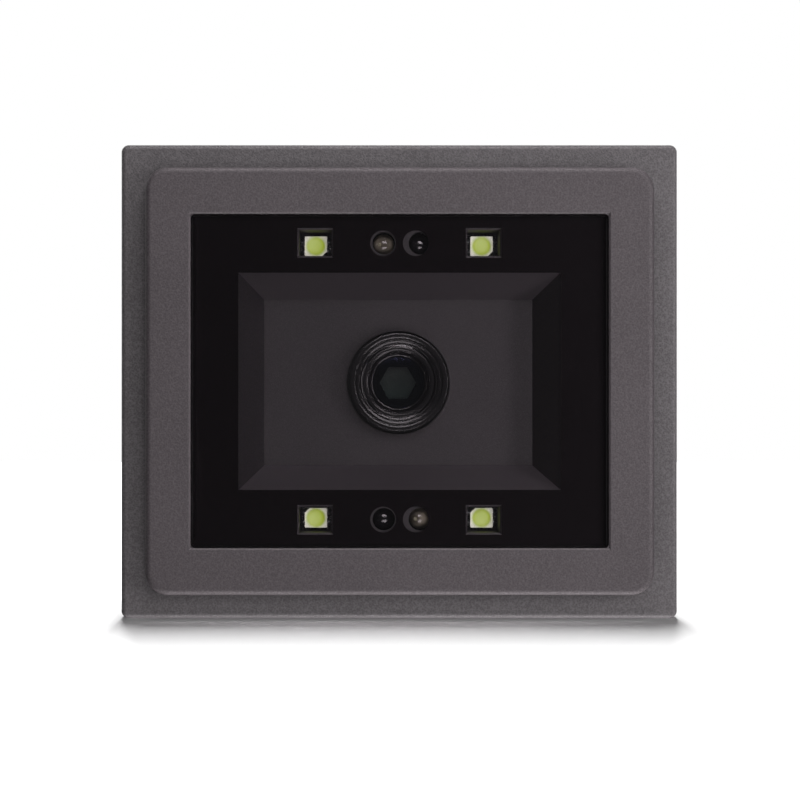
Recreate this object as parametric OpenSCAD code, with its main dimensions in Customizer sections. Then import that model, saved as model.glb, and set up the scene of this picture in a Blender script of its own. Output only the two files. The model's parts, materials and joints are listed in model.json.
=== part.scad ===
// Fixed barcode reader: a box with a raised bezel and a smoked scan window.
// X is across the face, the window faces -Y, Z is up. The reader stands on z = 0,
// and its depth is centred on y = 0. Places on the face are measured from the optical axis.

/* [Housing] */
// Width across the shoulder
housing_w = 78.7; // [77:0.1:84]
// Height across the shoulder
housing_h = 67; // [66:0.1:72]
// Depth from the bezel's face to the rear face
housing_d = 53; // [52.5:0.5:60]
// Thickness of the side walls
wall = 2.6; // [2.3:0.1:3]
// Thickness of the shoulder around the bezel
shoulder_wall = 2.5; // [2:0.1:3]
// Radius of the four long corners
corner_r = 1; // [0.95:0.05:1.6]
// Radius along the shoulder's edge
shoulder_edge_r = 0.7; // [0.3:0.05:0.9]
// Radius along the rear edge
rear_edge_r = 0.9; // [0.3:0.05:0.95]

/* [Bezel] */
// Width of the raised bezel
bezel_w = 71.4; // [70.8:0.1:72.4]
// Height of the raised bezel
bezel_h = 60; // [59.4:0.1:61]
// How far the bezel stands proud of the shoulder
bezel_step = 3.2; // [2.4:0.1:3.6]
// Corner radius of the bezel
bezel_corner_r = 3.2; // [2:0.1:4]
// Radius along the bezel's front edge
bezel_edge_r = 0.85; // [0.3:0.05:1.2]
// Thickness of the bezel's face
bezel_wall = 2.5; // [2.3:0.1:3]
// Thickness of the bezel's sides
bezel_side_wall = 2.2; // [2:0.1:2.4]

/* [Scan window] */
// Width of the opening in the bezel
window_w = 58.6; // [56:0.1:59]
// Height of the opening in the bezel
window_h = 46.8; // [46.4:0.1:47.4]
// Corner radius of the opening
window_corner_r = 0.6; // [0.3:0.1:1.5]
// Thickness of the window pane
window_t = 1.5; // [1.2:0.1:1.6]
// How far the pane lies below the bezel's face
window_recess = 0.2; // [0:0.05:0.3]
// Chamfer around the opening
window_chamfer = 0.25; // [0.1:0.05:0.4]

/* [Optics mask] */
// Width of the recess at its mouth
funnel_w = 45.4; // [43:0.1:46]
// Height of the recess at its mouth
funnel_h = 30.6; // [29:0.1:30.8]
// Width of the recess at its floor
floor_w = 38.9; // [36:0.1:39.4]
// Height of the recess at its floor
floor_h = 24; // [22:0.1:24.4]
// Depth of the recess
funnel_depth = 9; // [8.6:0.1:9.2]
// Diameter of the hole that the lens looks through
lens_hole_d = 15; // [14.8:0.1:16]

/* [Light sources] */
// Half the distance between the two columns of white lamps
lamp_x = 11.86; // [11.7:0.01:12.4]
// Distance of the lamp rows from the optical axis
lamp_z = 19.45; // [19.4:0.01:19.6]
// Width of a white lamp
lamp_w = 3.2; // [2.8:0.1:3.4]
// Height of a white lamp
lamp_h = 2.8; // [2.4:0.1:3]
// Thickness of a white lamp
lamp_t = 1.9; // [1.2:0.1:2]
// Diameter of a round lamp's dome
dome_d = 3; // [2.6:0.1:3.1]
// Diameter of the round holes in the black film
dome_hole_d = 3.65; // [3.2:0.05:3.8]

/* [Lens] */
// Diameter of the barrel's head
barrel_head_d = 14; // [13.8:0.1:14.4]
// Length of the barrel's head
barrel_head_l = 4.7; // [4.4:0.1:4.7]
// Diameter of the barrel's thread
barrel_thread_d = 12; // [11.8:0.1:12.2]
// Diameter of the front lens
front_lens_d = 10.3; // [10:0.1:10.4]
// Width across the corners of the aperture stop's opening
stop_d = 5.4; // [4:0.1:6]

/* [Rear cover] */
// Depth of the rear cover
cover_depth = 13.5; // [12.5:0.5:15]
// Thickness of the rear wall
rear_wall = 2.4; // [2.2:0.1:3]
// Distance between the mounting inserts across the face
insert_pitch_x = 50; // [48:0.5:51]
// Distance between the mounting inserts up the face
insert_pitch_z = 30; // [28:0.5:31]
// Bore of a mounting insert
insert_bore_d = 2.5; // [2:0.1:3]
// Length of a mounting insert
insert_l = 5.5; // [4:0.1:6]

/* [Data port] */
// Width of the data port
port_w = 15.2; // [15:0.1:16]
// Height of the data port
port_h = 13.2; // [13:0.1:14]
// How far the port lies below the optical axis
port_drop = 9; // [8:0.5:10]
// Depth of the socket in the port
socket_depth = 12; // [10:0.5:13]

/* [Hidden] */
$fn = 48;
over = 0.5;
slip = 0.1;
thread_gap = 0.05;
hex_sides = 6;

// Depth chain of the housing
axis_z = housing_h / 2;
face_y = -housing_d / 2;
back_y = housing_d / 2;
shoulder_y = face_y + bezel_step;
shoulder_in_y = shoulder_y + shoulder_wall;
bezel_in_y = face_y + bezel_wall;
seal_t = 0.4;
seal_inset = 0.8;
cover_y = back_y - cover_depth;
rim_y = cover_y - seal_t;
rear_in_y = back_y - rear_wall;
cavity_w = housing_w - 2 * wall;
cavity_h = housing_h - 2 * wall;
cavity_r = 1.2;
bezel_cavity_w = bezel_w - 2 * bezel_side_wall;
bezel_cavity_h = bezel_h - 2 * bezel_side_wall;
bezel_cavity_r = bezel_corner_r / 2;

// Corner columns that the rear cover is screwed to
column_inset = 2.6;
column_x = cavity_w / 2 - column_inset;
column_z = cavity_h / 2 - column_inset;
column_r = 3.2;
column_l = 20;
cover_column_r = 4;
stop_boss_r = 2.4;
housing_screw_r = 1.5;
housing_pilot_gap = 0.05;
housing_pilot_l = 10;
housing_hole_gap = 0.2;
screw_seat_depth = 3.2;
screw_head_r = 2.75;
screw_head_h = 3;
screw_well_gap = 0.2;
housing_screw_l = 19;
hex_key_r = 1.45;
hex_key_depth = 1.6;
spigot_l = 2.4;
spigot_t = 1.2;
spigot_corner_gap = 0.5;

// Window, tape and mask behind the bezel
pane_y = face_y + window_recess;
tape_y = pane_y + window_t;
tape_t = 0.3;
mask_y = tape_y + tape_t;
pad_gap = 0.2;
pad_w = window_w - 2 * pad_gap;
pad_h = window_h - 2 * pad_gap;
pad_t = 1.6;
pad_in_y = mask_y + pad_t;
mask_flange_gap = 0.3;
mask_flange_w = bezel_cavity_w - 2 * mask_flange_gap;
mask_flange_h = bezel_cavity_h - 2 * mask_flange_gap;
mask_flange_t = 1.6;
mask_flange_in_y = bezel_in_y + mask_flange_t;
flange_recess_band = 1.1;
mask_screw_inset = 2.3;
mask_screw_x = bezel_cavity_w / 2 - mask_screw_inset;
mask_screw_z = 12;
mask_post_r = 1.5;
mask_post_drop = 0.1;
mask_post_l = mask_flange_t - mask_post_drop;
mask_pilot_l = 3.1;

// Recess in the mask
funnel_wall = 1.2;
floor_t = 1.2;
floor_y = mask_y + funnel_depth;
floor_in_y = floor_y + floor_t;
slope_x = (funnel_w - floor_w) / 2 / funnel_depth;
slope_z = (funnel_h - floor_h) / 2 / funnel_depth;

// Light board and what shows through the mask
board_t = 1.6;
light_board_gap_y = 6.9;
light_y = mask_y + light_board_gap_y;
light_in_y = light_y + board_t;
light_cut_gap = 0.4;
light_cut_w = funnel_w + 2 * funnel_wall - 2 * slope_x * light_board_gap_y + 2 * light_cut_gap;
light_cut_h = funnel_h + 2 * funnel_wall - 2 * slope_z * light_board_gap_y + 2 * light_cut_gap;
socket_gap = 1.7;
socket_w = 4;
socket_h = 12;
socket_t = 1.5;
socket_x = light_cut_w / 2 + socket_gap;
socket_out_x = socket_x + socket_w;
light_board_margin = 2;
light_board_w = 2 * (socket_out_x + light_board_margin);
light_board_h = 47;
pocket_w = 5.05;
pocket_h = 4.2;
pocket_chamfer = 0.25;
pocket_in_w = pocket_w - 2 * pocket_chamfer;
pocket_in_h = pocket_h - 2 * pocket_chamfer;
pocket_lift = 0.05;
pocket_wall = 1;
lamp_cup_r = 1.2;
lamp_cup_depth = 0.35;
lamp_notch = 0.55;
phosphor_dish = 0.05;
dome_hole_x = 2.3;
dome_left_x = -2.2;
dome_right_x = 2.9;
dome_gap = 0.1;
dome_bore_r = dome_d / 2 + dome_gap;
dome_h = 5;
dome_flange_r = 1.85;
dome_flange_t = 1;
dome_pin_r = 0.25;
dome_pin_x = 1.27;
dome_pin_l = 2.4;
pin_hole_gap = 0.15;
chamber_w = 10.4;
chamber_h = 4.8;
chamber_wall = 1;
resistor_w = 1.6;
resistor_h = 0.8;
resistor_t = 0.5;
resistor_places = [-4.5, -1.5, 1.5, 4.5];
resistor_x = socket_x + socket_w / 2;

// Small screws, all with the same head
small_screw_r = 0.8;
small_head_r = 1.9;
small_head_h = 1.3;
small_slot_w = 0.5;
small_slot_depth = 0.6;
small_pilot_gap = 0.05;
small_pilot_r = small_screw_r + small_pilot_gap;
mask_screw_l = 2.7;
light_screw_x = 18.9;
light_screw_l = 5;
light_pilot_l = 4.2;
light_boss_r = 2;
small_hole_gap = 0.25;

// Bays for the lens, the camera cable and the rear, which share the depth behind the mask
bays_l = rear_in_y - floor_in_y - 2 * board_t;
lens_bay_share = 0.31;
rear_bay_share = 0.4;

// Posts from the mask to the sensor board
post_inset = 2;
post_x = socket_out_x - post_inset;
post_z = 19.8;
post_root_r = 3;
post_r = 2.1;
post_hole_gap = 0.25;
sensor_y = floor_in_y + lens_bay_share * bays_l;
sensor_in_y = sensor_y + board_t;
sensor_board_margin = 0.5;
sensor_board_w = 2 * (socket_out_x + sensor_board_margin);
sensor_board_h = 46;
sensor_pilot_l = 7;
sensor_screw_l = 7.5;

// Lens, from its front face backwards
barrel_proud = 4;
barrel_y = floor_y - barrel_proud;
barrel_chamfer = 0.3;
barrel_head_r = barrel_head_d / 2;
thread_r = barrel_thread_d / 2;
lens_back_gap = 3;
barrel_in_y = barrel_y + barrel_head_l;
barrel_end_y = sensor_y - lens_back_gap;
rim_step = 0.65;
rim_drop = 0.3;
mouth_r = 5.9;
mouth_depth = 1.3;
lens_bore_r = front_lens_d / 2 + thread_gap;
lens_seat = 3.6;
lens_seat_y = barrel_y + lens_seat;
lens_edge_t = 1.4;
lens_edge_y = lens_seat_y - lens_edge_t;
lens_clear_r = 3.9;
lens_sag = 0.8;
lens_curve_r = (lens_clear_r * lens_clear_r + lens_sag * lens_sag) / (2 * lens_sag);
ring_t = 1;
ring_bore_r = 3.95;
ring_chamfer = 0.6;
inner_bore_r = 4.4;
stop_seat = 6.5;
stop_seat_y = barrel_y + stop_seat;
stop_t = 0.3;
waist_r = 3.6;
rear_bore_r = 4.6;
rear_seat_l = 3.2;
rear_seat_y = barrel_end_y - rear_seat_l;
rear_lens_t = 1.4;
rear_lens_y = rear_seat_y + rear_lens_t;
rear_ring_t = 0.9;

// Lens holder, filter and image sensor on the sensor board
lock_ring_t = 1.2;
lock_ring_r = 7.3;
holder_y = barrel_in_y + 2 * slip + lock_ring_t;
holder_tower_r = 7.6;
holder_base_w = 17;
holder_base_l = 5;
holder_ledge_y = barrel_end_y + 2 * slip;
holder_ledge_t = 0.5;
holder_window = 6.4;
sensor_cavity = 10.5;
holder_ear_x = 10.5;
holder_ear_r = 2.4;
holder_ear_l = 2.5;
holder_screw_l = 3.8;
filter_w = 7.6;
filter_t = 0.4;
filter_y = holder_ledge_y + holder_ledge_t;
chip_w = 8.6;
chip_h = 7.4;
chip_t = 1.1;
glass_w = 7;
glass_h = 5.8;
glass_t = 0.4;

// Flat cables, which reach into the room beside their sockets
flex_w = 10;
flex_t = 0.3;
flex_room = cavity_w / 2 - socket_out_x;
flex_reach_share = 0.29;
flex_bend_share = 0.45;
flex_reach = flex_reach_share * flex_room;
flex_bend_r = flex_bend_share * flex_reach;

// Decoder board on the rear cover
decoder_in_y = rear_in_y - rear_bay_share * bays_l;
decoder_y = decoder_in_y - board_t;
decoder_board_margin = 2.5;
decoder_board_w = 2 * (socket_out_x + decoder_board_margin);
decoder_board_h = 50;
decoder_screw_inset = 1;
decoder_x = socket_out_x - decoder_screw_inset;
decoder_z = 21.5;
decoder_boss_r = 2.6;
decoder_pilot_l = 7;
decoder_screw_l = 7.5;
processor_w = 14;
processor_t = 1.4;
processor_z = 8;
memory_w = 8;
memory_h = 11.5;
memory_t = 1;
memory_x = -14;
can_r = 3.15;
can_h = 5.8;
can_base_t = 0.8;
can_x = 10;
can_pitch = 8;
can_z = 16;
inductor_w = 6;
inductor_t = 3;
inductor_x = 16;
inductor_z = 3;
buzzer_x = -12;
buzzer_z = 14;
buzzer_r = 6;
buzzer_h = 9.5;
buzzer_hole_r = 1;
buzzer_hole_depth = 2;
sound_hole_r = 0.6;
sound_ring_r = 2.6;

// Data port
port_gap = 0.3;
port_recess = 0.6;
port_y = back_y - port_recess;
socket_plug_w = 11.8;
socket_plug_h = 7.4;
socket_lift = 0.8;
latch_w = 6.2;
latch_h = 2;
contact_count = 8;
contact_pitch = 1.02;
contact_w = 0.35;
contact_t = 0.3;
contact_l = 9;
contact_drop = 1.4;
port_bevel = 0.6;

// Mounting inserts
insert_r = 2.1;
insert_boss_r = 3.4;
insert_boss_l = 4.6;
insert_floor_gap = 0.4;
insert_flange_r = 2.8;
insert_flange_t = 0.5;

lamp_sides = [[-1, 1], [1, 1], [-1, -1], [1, -1]];
corners = [for (x = [-1, 1], z = [-1, 1]) [x, z]];

// Outline helpers, drawn as seen from the front
module round_rect(w, h, r) {
    square([w - 2 * r, h], center = true);
    square([w, h - 2 * r], center = true);
    for (c = corners)
        translate([c.x * (w / 2 - r), c.y * (h / 2 - r)]) circle(r);
}

module deep(y0, y1)
    translate([0, y1, axis_z]) rotate([90, 0, 0]) linear_extrude(y1 - y0) children();

module block(w, h, y0, y1) deep(y0, y1) square([w, h], center = true);

module rod(r, y0, y1)
    translate([0, y1, axis_z]) rotate([90, 0, 0]) cylinder(r = r, h = y1 - y0);

module at(x, z) translate([x, 0, z]) children();

module turned() translate([0, 0, axis_z]) rotate([90, 0, 0]) rotate_extrude() children();

// A tapered block whose half sizes change along the depth
module tapered(w0, h0, y0, w1, h1, y1) {
    intersection() {
        translate([0, 0, axis_z - h0]) linear_extrude(2 * h0)
            polygon([[-w0 / 2, y0], [w0 / 2, y0], [w1 / 2, y1], [-w1 / 2, y1]]);
        translate([-w0, 0, axis_z]) rotate([90, 0, 90]) linear_extrude(2 * w0)
            polygon([[y0, -h0 / 2], [y0, h0 / 2], [y1, h1 / 2], [y1, -h1 / 2]]);
    }
}

// A slab with round corners and a round front edge
module edge_profile(h, e, y0, y1) {
    translate([y0 + e, -h / 2]) square([y1 - y0 - e, h]);
    translate([y0, -h / 2 + e]) square([y1 - y0, h - 2 * e]);
    for (s = [-1, 1]) translate([y0 + e, s * (h / 2 - e)]) circle(e);
}

module corner_profile(r, e, y0, y1) {
    intersection() {
        union() {
            translate([0, -y1]) square([r, y1 - y0 - e]);
            translate([0, -y1]) square([r - e, y1 - y0]);
            translate([r - e, -y0 - e]) circle(e);
        }
        translate([0, -y1]) square([r, y1 - y0]);
    }
}

module soft_slab(w, h, r, e, y0, y1) {
    translate([-w / 2 + r, 0, axis_z]) rotate([90, 0, 90])
        linear_extrude(w - 2 * r) edge_profile(h, e, y0, y1);
    translate([0, 0, axis_z - h / 2 + r])
        linear_extrude(h - 2 * r) mirror([1, -1, 0]) edge_profile(w, e, y0, y1);
    for (c = corners)
        translate([c.x * (w / 2 - r), 0, axis_z + c.y * (h / 2 - r)])
            rotate([90, 0, 0]) rotate_extrude() corner_profile(r, e, y0, y1);
}

// A pan-head screw whose head rests at y and whose shank points forward
module small_screw(y, length) {
    difference() {
        rod(small_head_r, y, y + small_head_h);
        block(2 * small_head_r - over, small_slot_w,
            y + small_head_h - small_slot_depth, y + small_head_h + over);
    }
    rod(small_screw_r, y - length, y + over / 2);
}

// Housing
module front_housing() {
    color("#4a464a") difference() {
        union() {
            difference() {
                union() {
                    soft_slab(housing_w, housing_h, corner_r, shoulder_edge_r, shoulder_y, rim_y);
                    soft_slab(bezel_w, bezel_h, bezel_corner_r, bezel_edge_r, face_y,
                        shoulder_y + shoulder_wall / 2);
                }
                deep(shoulder_in_y, rim_y + over) round_rect(cavity_w, cavity_h, cavity_r);
                deep(bezel_in_y, shoulder_in_y + over)
                    round_rect(bezel_cavity_w, bezel_cavity_h, bezel_cavity_r);
                deep(face_y - over, bezel_in_y + over)
                    round_rect(window_w, window_h, window_corner_r);
                tapered(window_w + 2 * window_chamfer, window_h + 2 * window_chamfer, face_y,
                    window_w, window_h, face_y + window_chamfer);
            }
            for (c = corners) at(c.x * column_x, c.y * column_z) {
                rod(column_r, rim_y - column_l, rim_y);
                at(c.x * column_inset / 2, c.y * column_inset / 2)
                    block(column_inset + over, column_inset + over, rim_y - column_l, rim_y);
            }
            for (c = corners) at(c.x * mask_screw_x, c.y * mask_screw_z)
                rod(mask_post_r, bezel_in_y - over, bezel_in_y + mask_post_l);
        }
        for (c = corners) at(c.x * column_x, c.y * column_z)
            rod(housing_screw_r + housing_pilot_gap, rim_y - housing_pilot_l, rim_y + over);
        for (c = corners) at(c.x * mask_screw_x, c.y * mask_screw_z)
            rod(small_pilot_r, bezel_in_y + mask_post_l - mask_pilot_l,
                bezel_in_y + mask_post_l + over);
    }
}

module cover_spigot() {
    difference() {
        deep(cover_y - spigot_l, cover_y + over)
            round_rect(cavity_w - 2 * slip, cavity_h - 2 * slip, cavity_r);
        deep(cover_y - spigot_l - over, cover_y + 2 * over)
            square([cavity_w - 2 * slip - 2 * spigot_t, cavity_h - 2 * slip - 2 * spigot_t],
                center = true);
        for (c = corners) at(c.x * column_x, c.y * column_z)
            block(2 * (column_r + spigot_corner_gap), 2 * (column_r + spigot_corner_gap),
                cover_y - spigot_l - over, cover_y);
    }
}

module rear_cover() {
    color("#454145") difference() {
        union() {
            difference() {
                mirror([0, 1, 0])
                    soft_slab(housing_w, housing_h, corner_r, rear_edge_r, -back_y, -cover_y);
                deep(cover_y - over, rear_in_y) round_rect(cavity_w, cavity_h, cavity_r);
            }
            cover_spigot_ring();
            for (c = corners) at(c.x * column_x, c.y * column_z) {
                rod(cover_column_r, cover_y, rear_in_y + over);
                rod(stop_boss_r, rim_y, cover_y + over);
            }
            for (c = corners) at(c.x * decoder_x, c.y * decoder_z)
                rod(decoder_boss_r, decoder_in_y, rear_in_y + over);
            for (c = corners) at(c.x * insert_pitch_x / 2, c.y * insert_pitch_z / 2)
                rod(insert_boss_r, rear_in_y - insert_boss_l, rear_in_y + over);
        }
        for (c = corners) at(c.x * column_x, c.y * column_z) {
            rod(housing_screw_r + housing_hole_gap, rim_y - over, back_y);
            rod(screw_head_r + screw_well_gap, back_y - screw_seat_depth, back_y + over);
        }
        for (c = corners) at(c.x * decoder_x, c.y * decoder_z)
            rod(small_pilot_r, decoder_in_y - over, decoder_in_y + decoder_pilot_l);
        for (c = corners) at(c.x * insert_pitch_x / 2, c.y * insert_pitch_z / 2) {
            rod(insert_r, back_y - insert_l - insert_floor_gap, back_y + over);
            rod(insert_flange_r, back_y - insert_flange_t, back_y + over);
        }
        at(0, -port_drop) {
            block(port_w + 2 * port_gap, port_h + 2 * port_gap, rear_in_y - over, back_y + over);
            mirror([0, 1, 0]) tapered(port_w + 2 * port_gap + 2 * port_bevel,
                port_h + 2 * port_gap + 2 * port_bevel, -back_y,
                port_w + 2 * port_gap, port_h + 2 * port_gap, -back_y + port_bevel);
        }
        at(buzzer_x, buzzer_z) {
            rod(sound_hole_r, rear_in_y - over, back_y + over);
            for (a = [0:360 / hex_sides:359])
                at(sound_ring_r * cos(a), sound_ring_r * sin(a))
                    rod(sound_hole_r, rear_in_y - over, back_y + over);
        }
    }
}

// The cover's spigot joins its wall through a ring just behind the seal
module cover_spigot_ring() {
    cover_spigot();
    difference() {
        deep(cover_y, cover_y + spigot_t) round_rect(cavity_w + over, cavity_h + over, cavity_r);
        deep(cover_y - over, cover_y + spigot_t + over)
            square([cavity_w - 2 * slip - 2 * spigot_t, cavity_h - 2 * slip - 2 * spigot_t],
                center = true);
    }
}

module housing_seal() {
    color("#161416") difference() {
        deep(rim_y, cover_y)
            round_rect(housing_w - 2 * seal_inset, housing_h - 2 * seal_inset, corner_r / 2);
        deep(rim_y - over, cover_y + over) round_rect(cavity_w, cavity_h, cavity_r);
    }
}

module housing_screws() {
    seat_y = back_y - screw_seat_depth;
    color("#9a9a98") for (c = corners) at(c.x * column_x, c.y * column_z) {
        difference() {
            rod(screw_head_r, seat_y, seat_y + screw_head_h);
            translate([0, seat_y + screw_head_h + over, axis_z]) rotate([90, 0, 0])
                cylinder(r = hex_key_r, h = hex_key_depth + over, $fn = hex_sides);
        }
        rod(housing_screw_r, seat_y - housing_screw_l, seat_y + over);
    }
}

module mount_inserts() {
    color("#b8924a") for (c = corners)
        at(c.x * insert_pitch_x / 2, c.y * insert_pitch_z / 2) difference() {
            union() {
                rod(insert_r, back_y - insert_l, back_y);
                rod(insert_flange_r, back_y - insert_flange_t, back_y);
            }
            rod(insert_bore_d / 2, back_y - insert_l - over, back_y + over);
        }
}

// Window and mask
module scan_window() {
    color("#2a262a", 0.4) deep(pane_y, tape_y)
        round_rect(window_w - 2 * slip, window_h - 2 * slip, window_corner_r - slip);
}

// Black film that sticks the pane to the mask, with a hole for everything behind it
module window_tape() {
    color("#0c0a0c") deep(tape_y, mask_y) difference() {
        square([pad_w, pad_h], center = true);
        square([funnel_w, funnel_h], center = true);
        for (c = corners) {
            translate([c.x * lamp_x, c.y * (lamp_z + pocket_lift)])
                square([pocket_w, pocket_h], center = true);
            translate([c.x * dome_hole_x, c.y * lamp_z]) circle(dome_hole_d / 2);
        }
    }
}

module mask_solid() {
    block(pad_w, pad_h, mask_y, pad_in_y);
    difference() {
        deep(bezel_in_y, mask_flange_in_y)
            round_rect(mask_flange_w, mask_flange_h, bezel_cavity_r);
        block(pad_w - 2 * flange_recess_band, pad_h - flange_recess_band / 2, pad_in_y,
            mask_flange_in_y + over);
    }
    tapered(funnel_w + 2 * funnel_wall, funnel_h + 2 * funnel_wall, mask_y,
        funnel_w + 2 * funnel_wall - 2 * slope_x * (floor_in_y - mask_y),
        funnel_h + 2 * funnel_wall - 2 * slope_z * (floor_in_y - mask_y), floor_in_y);
    for (c = corners) {
        at(c.x * lamp_x, c.y * (lamp_z + pocket_lift))
            block(pocket_w + 2 * pocket_wall, pocket_h + 2 * pocket_wall, pad_in_y - over, light_y);
        at(c.x * light_screw_x, c.y * lamp_z) rod(light_boss_r, pad_in_y - over, light_y);
        at(c.x * post_x, c.y * post_z) {
            rod(post_root_r, pad_in_y - over, light_y);
            rod(post_r, light_y - over, sensor_y);
        }
    }
    for (s = [-1, 1]) at(0, s * lamp_z)
        block(chamber_w + 2 * chamber_wall, chamber_h + 2 * chamber_wall, pad_in_y - over, light_y);
}

module optics_mask() {
    color("#2e2a2d") difference() {
        mask_solid();
        tapered(funnel_w + 2 * slope_x * over, funnel_h + 2 * slope_z * over, mask_y - over,
            floor_w, floor_h, floor_y);
        rod(lens_hole_d / 2, floor_y - over, floor_in_y + over);
        for (c = corners) {
            at(c.x * lamp_x, c.y * (lamp_z + pocket_lift)) {
                block(pocket_in_w, pocket_in_h, mask_y, light_y + over);
                tapered(pocket_w + 2 * over, pocket_h + 2 * over, mask_y - over,
                    pocket_in_w, pocket_in_h, mask_y + pocket_chamfer);
            }
            at(c.x * mask_screw_x, c.y * mask_screw_z)
                rod(mask_post_r + slip, bezel_in_y - over, mask_flange_in_y + over);
            at(c.x * light_screw_x, c.y * lamp_z)
                rod(small_pilot_r, light_y - light_pilot_l - over, light_y + over);
            at(c.x * post_x, c.y * post_z)
                rod(small_pilot_r, sensor_y - sensor_pilot_l - over, sensor_y + over);
        }
        for (s = [-1, 1]) at(0, s * lamp_z) {
            block(chamber_w, chamber_h, pad_in_y, light_y + over);
            for (x = [dome_left_x, dome_right_x]) at(x, 0)
                rod(dome_bore_r, mask_y - over, pad_in_y + over);
        }
    }
}

module mask_screws() {
    color("#8c8c8a") for (c = corners) at(c.x * mask_screw_x, c.y * mask_screw_z)
        small_screw(mask_flange_in_y, mask_screw_l);
}

// Light board
module light_board() {
    color("#15301f") difference() {
        deep(light_y, light_in_y) round_rect(light_board_w, light_board_h, board_t);
        block(light_cut_w, light_cut_h, light_y - over, light_in_y + over);
        for (c = corners) {
            at(c.x * light_screw_x, c.y * lamp_z)
                rod(small_screw_r + small_hole_gap, light_y - over, light_in_y + over);
            at(c.x * post_x, c.y * post_z)
                rod(post_r + post_hole_gap, light_y - over, light_in_y + over);
        }
        for (x = [dome_left_x, dome_right_x], z = [-lamp_z, lamp_z], s = [-1, 1])
            at(x + s * dome_pin_x, z)
                rod(dome_pin_r + pin_hole_gap, light_y - over, light_in_y + over);
    }
}

module light_board_screws() {
    color("#8c8c8a") for (c = corners) at(c.x * light_screw_x, c.y * lamp_z)
        small_screw(light_in_y, light_screw_l);
}

module light_board_resistors() {
    color("#1c1c1e") for (z = resistor_places) at(resistor_x, z)
        block(resistor_w, resistor_h, light_y - resistor_t, light_y);
}

module white_led(side) {
    notch_x = side.y > 0 ? 1 : -1;
    color("#dcdad0") at(side.x * lamp_x, side.y * lamp_z) difference() {
        block(lamp_w, lamp_h, light_y - lamp_t, light_y);
        rod(lamp_cup_r, light_y - lamp_t - over, light_y - lamp_t + lamp_cup_depth);
        translate([notch_x * lamp_w / 2, light_y - lamp_t, axis_z - notch_x * lamp_h / 2])
            rotate([0, 45, 0])
                cube([lamp_notch, lamp_cup_depth, lamp_notch], center = true);
    }
}

module led_phosphor(side) {
    color("#b9c24a") at(side.x * lamp_x, side.y * lamp_z)
        rod(lamp_cup_r, light_y - lamp_t + phosphor_dish, light_y - lamp_t + lamp_cup_depth);
}

module white_led_1() white_led(lamp_sides[0]);
module white_led_2() white_led(lamp_sides[1]);
module white_led_3() white_led(lamp_sides[2]);
module white_led_4() white_led(lamp_sides[3]);
module led_phosphor_1() led_phosphor(lamp_sides[0]);
module led_phosphor_2() led_phosphor(lamp_sides[1]);
module led_phosphor_3() led_phosphor(lamp_sides[2]);
module led_phosphor_4() led_phosphor(lamp_sides[3]);

module round_led(x, z) {
    dome_r = dome_d / 2;
    at(x, z) {
        rod(dome_flange_r, light_y - dome_flange_t, light_y);
        rod(dome_r, light_y - dome_h + dome_r, light_y - dome_flange_t / 2);
        translate([0, light_y - dome_h + dome_r, axis_z]) sphere(dome_r);
        for (s = [-1, 1]) at(s * dome_pin_x, 0)
            rod(dome_pin_r, light_y - dome_flange_t / 2, light_y + dome_pin_l);
    }
}

module aiming_led_upper() { color("#c8c8c4", 0.6) round_led(dome_left_x, lamp_z); }
module aiming_led_lower() { color("#c8c8c4", 0.6) round_led(dome_right_x, -lamp_z); }
module proximity_sensor_upper() { color("#1c181c") round_led(dome_right_x, lamp_z); }
module proximity_sensor_lower() { color("#1c181c") round_led(dome_left_x, -lamp_z); }

// Lens, turned about the optical axis; in the profiles the height is minus the depth
module lens_barrel() {
    head_r = barrel_head_r;
    color("#1b1a1c") turned() difference() {
        polygon([
            [0, -barrel_end_y], [thread_r, -barrel_end_y], [thread_r, -barrel_in_y],
            [head_r, -barrel_in_y], [head_r, -barrel_y - barrel_chamfer],
            [head_r - barrel_chamfer, -barrel_y], [0, -barrel_y]
        ]);
        polygon([
            [0, -barrel_y + over], [head_r - rim_step, -barrel_y + over],
            [head_r - rim_step, -barrel_y - rim_drop], [mouth_r, -barrel_y - rim_drop],
            [lens_bore_r, -barrel_y - mouth_depth], [lens_bore_r, -lens_seat_y],
            [inner_bore_r, -lens_seat_y], [inner_bore_r, -stop_seat_y],
            [waist_r, -stop_seat_y], [waist_r, -rear_seat_y],
            [rear_bore_r, -rear_seat_y], [rear_bore_r, -barrel_end_y - over],
            [0, -barrel_end_y - over]
        ]);
    }
}

module lens_retaining_ring() {
    color("#222124") turned() polygon([
        [ring_bore_r, -lens_edge_y], [lens_bore_r - thread_gap, -lens_edge_y],
        [lens_bore_r - thread_gap, -lens_edge_y + ring_t],
        [ring_bore_r + ring_chamfer, -lens_edge_y + ring_t],
        [ring_bore_r, -lens_edge_y + ring_t - ring_chamfer]
    ]);
}

module front_lens() {
    color("#203040", 0.5) {
        rod(front_lens_d / 2, lens_edge_y, lens_seat_y);
        intersection() {
            translate([0, lens_edge_y - lens_sag + lens_curve_r, axis_z]) sphere(lens_curve_r);
            rod(lens_clear_r, lens_edge_y - lens_sag - over, lens_edge_y + over);
        }
    }
}

module aperture_stop() {
    color("#0d0d0f") difference() {
        rod(inner_bore_r - thread_gap, stop_seat_y - stop_t, stop_seat_y);
        translate([0, stop_seat_y + over, axis_z]) rotate([90, 0, 0])
            cylinder(r = stop_d / 2, h = stop_t + 2 * over, $fn = hex_sides);
    }
}

module rear_lens() {
    color("#203040", 0.5) rod(rear_bore_r - thread_gap, rear_seat_y, rear_lens_y);
}

module rear_retaining_ring() {
    color("#222124") difference() {
        rod(rear_bore_r - thread_gap, rear_lens_y, rear_lens_y + rear_ring_t);
        rod(waist_r, rear_lens_y - over, rear_lens_y + rear_ring_t + over);
    }
}

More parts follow.
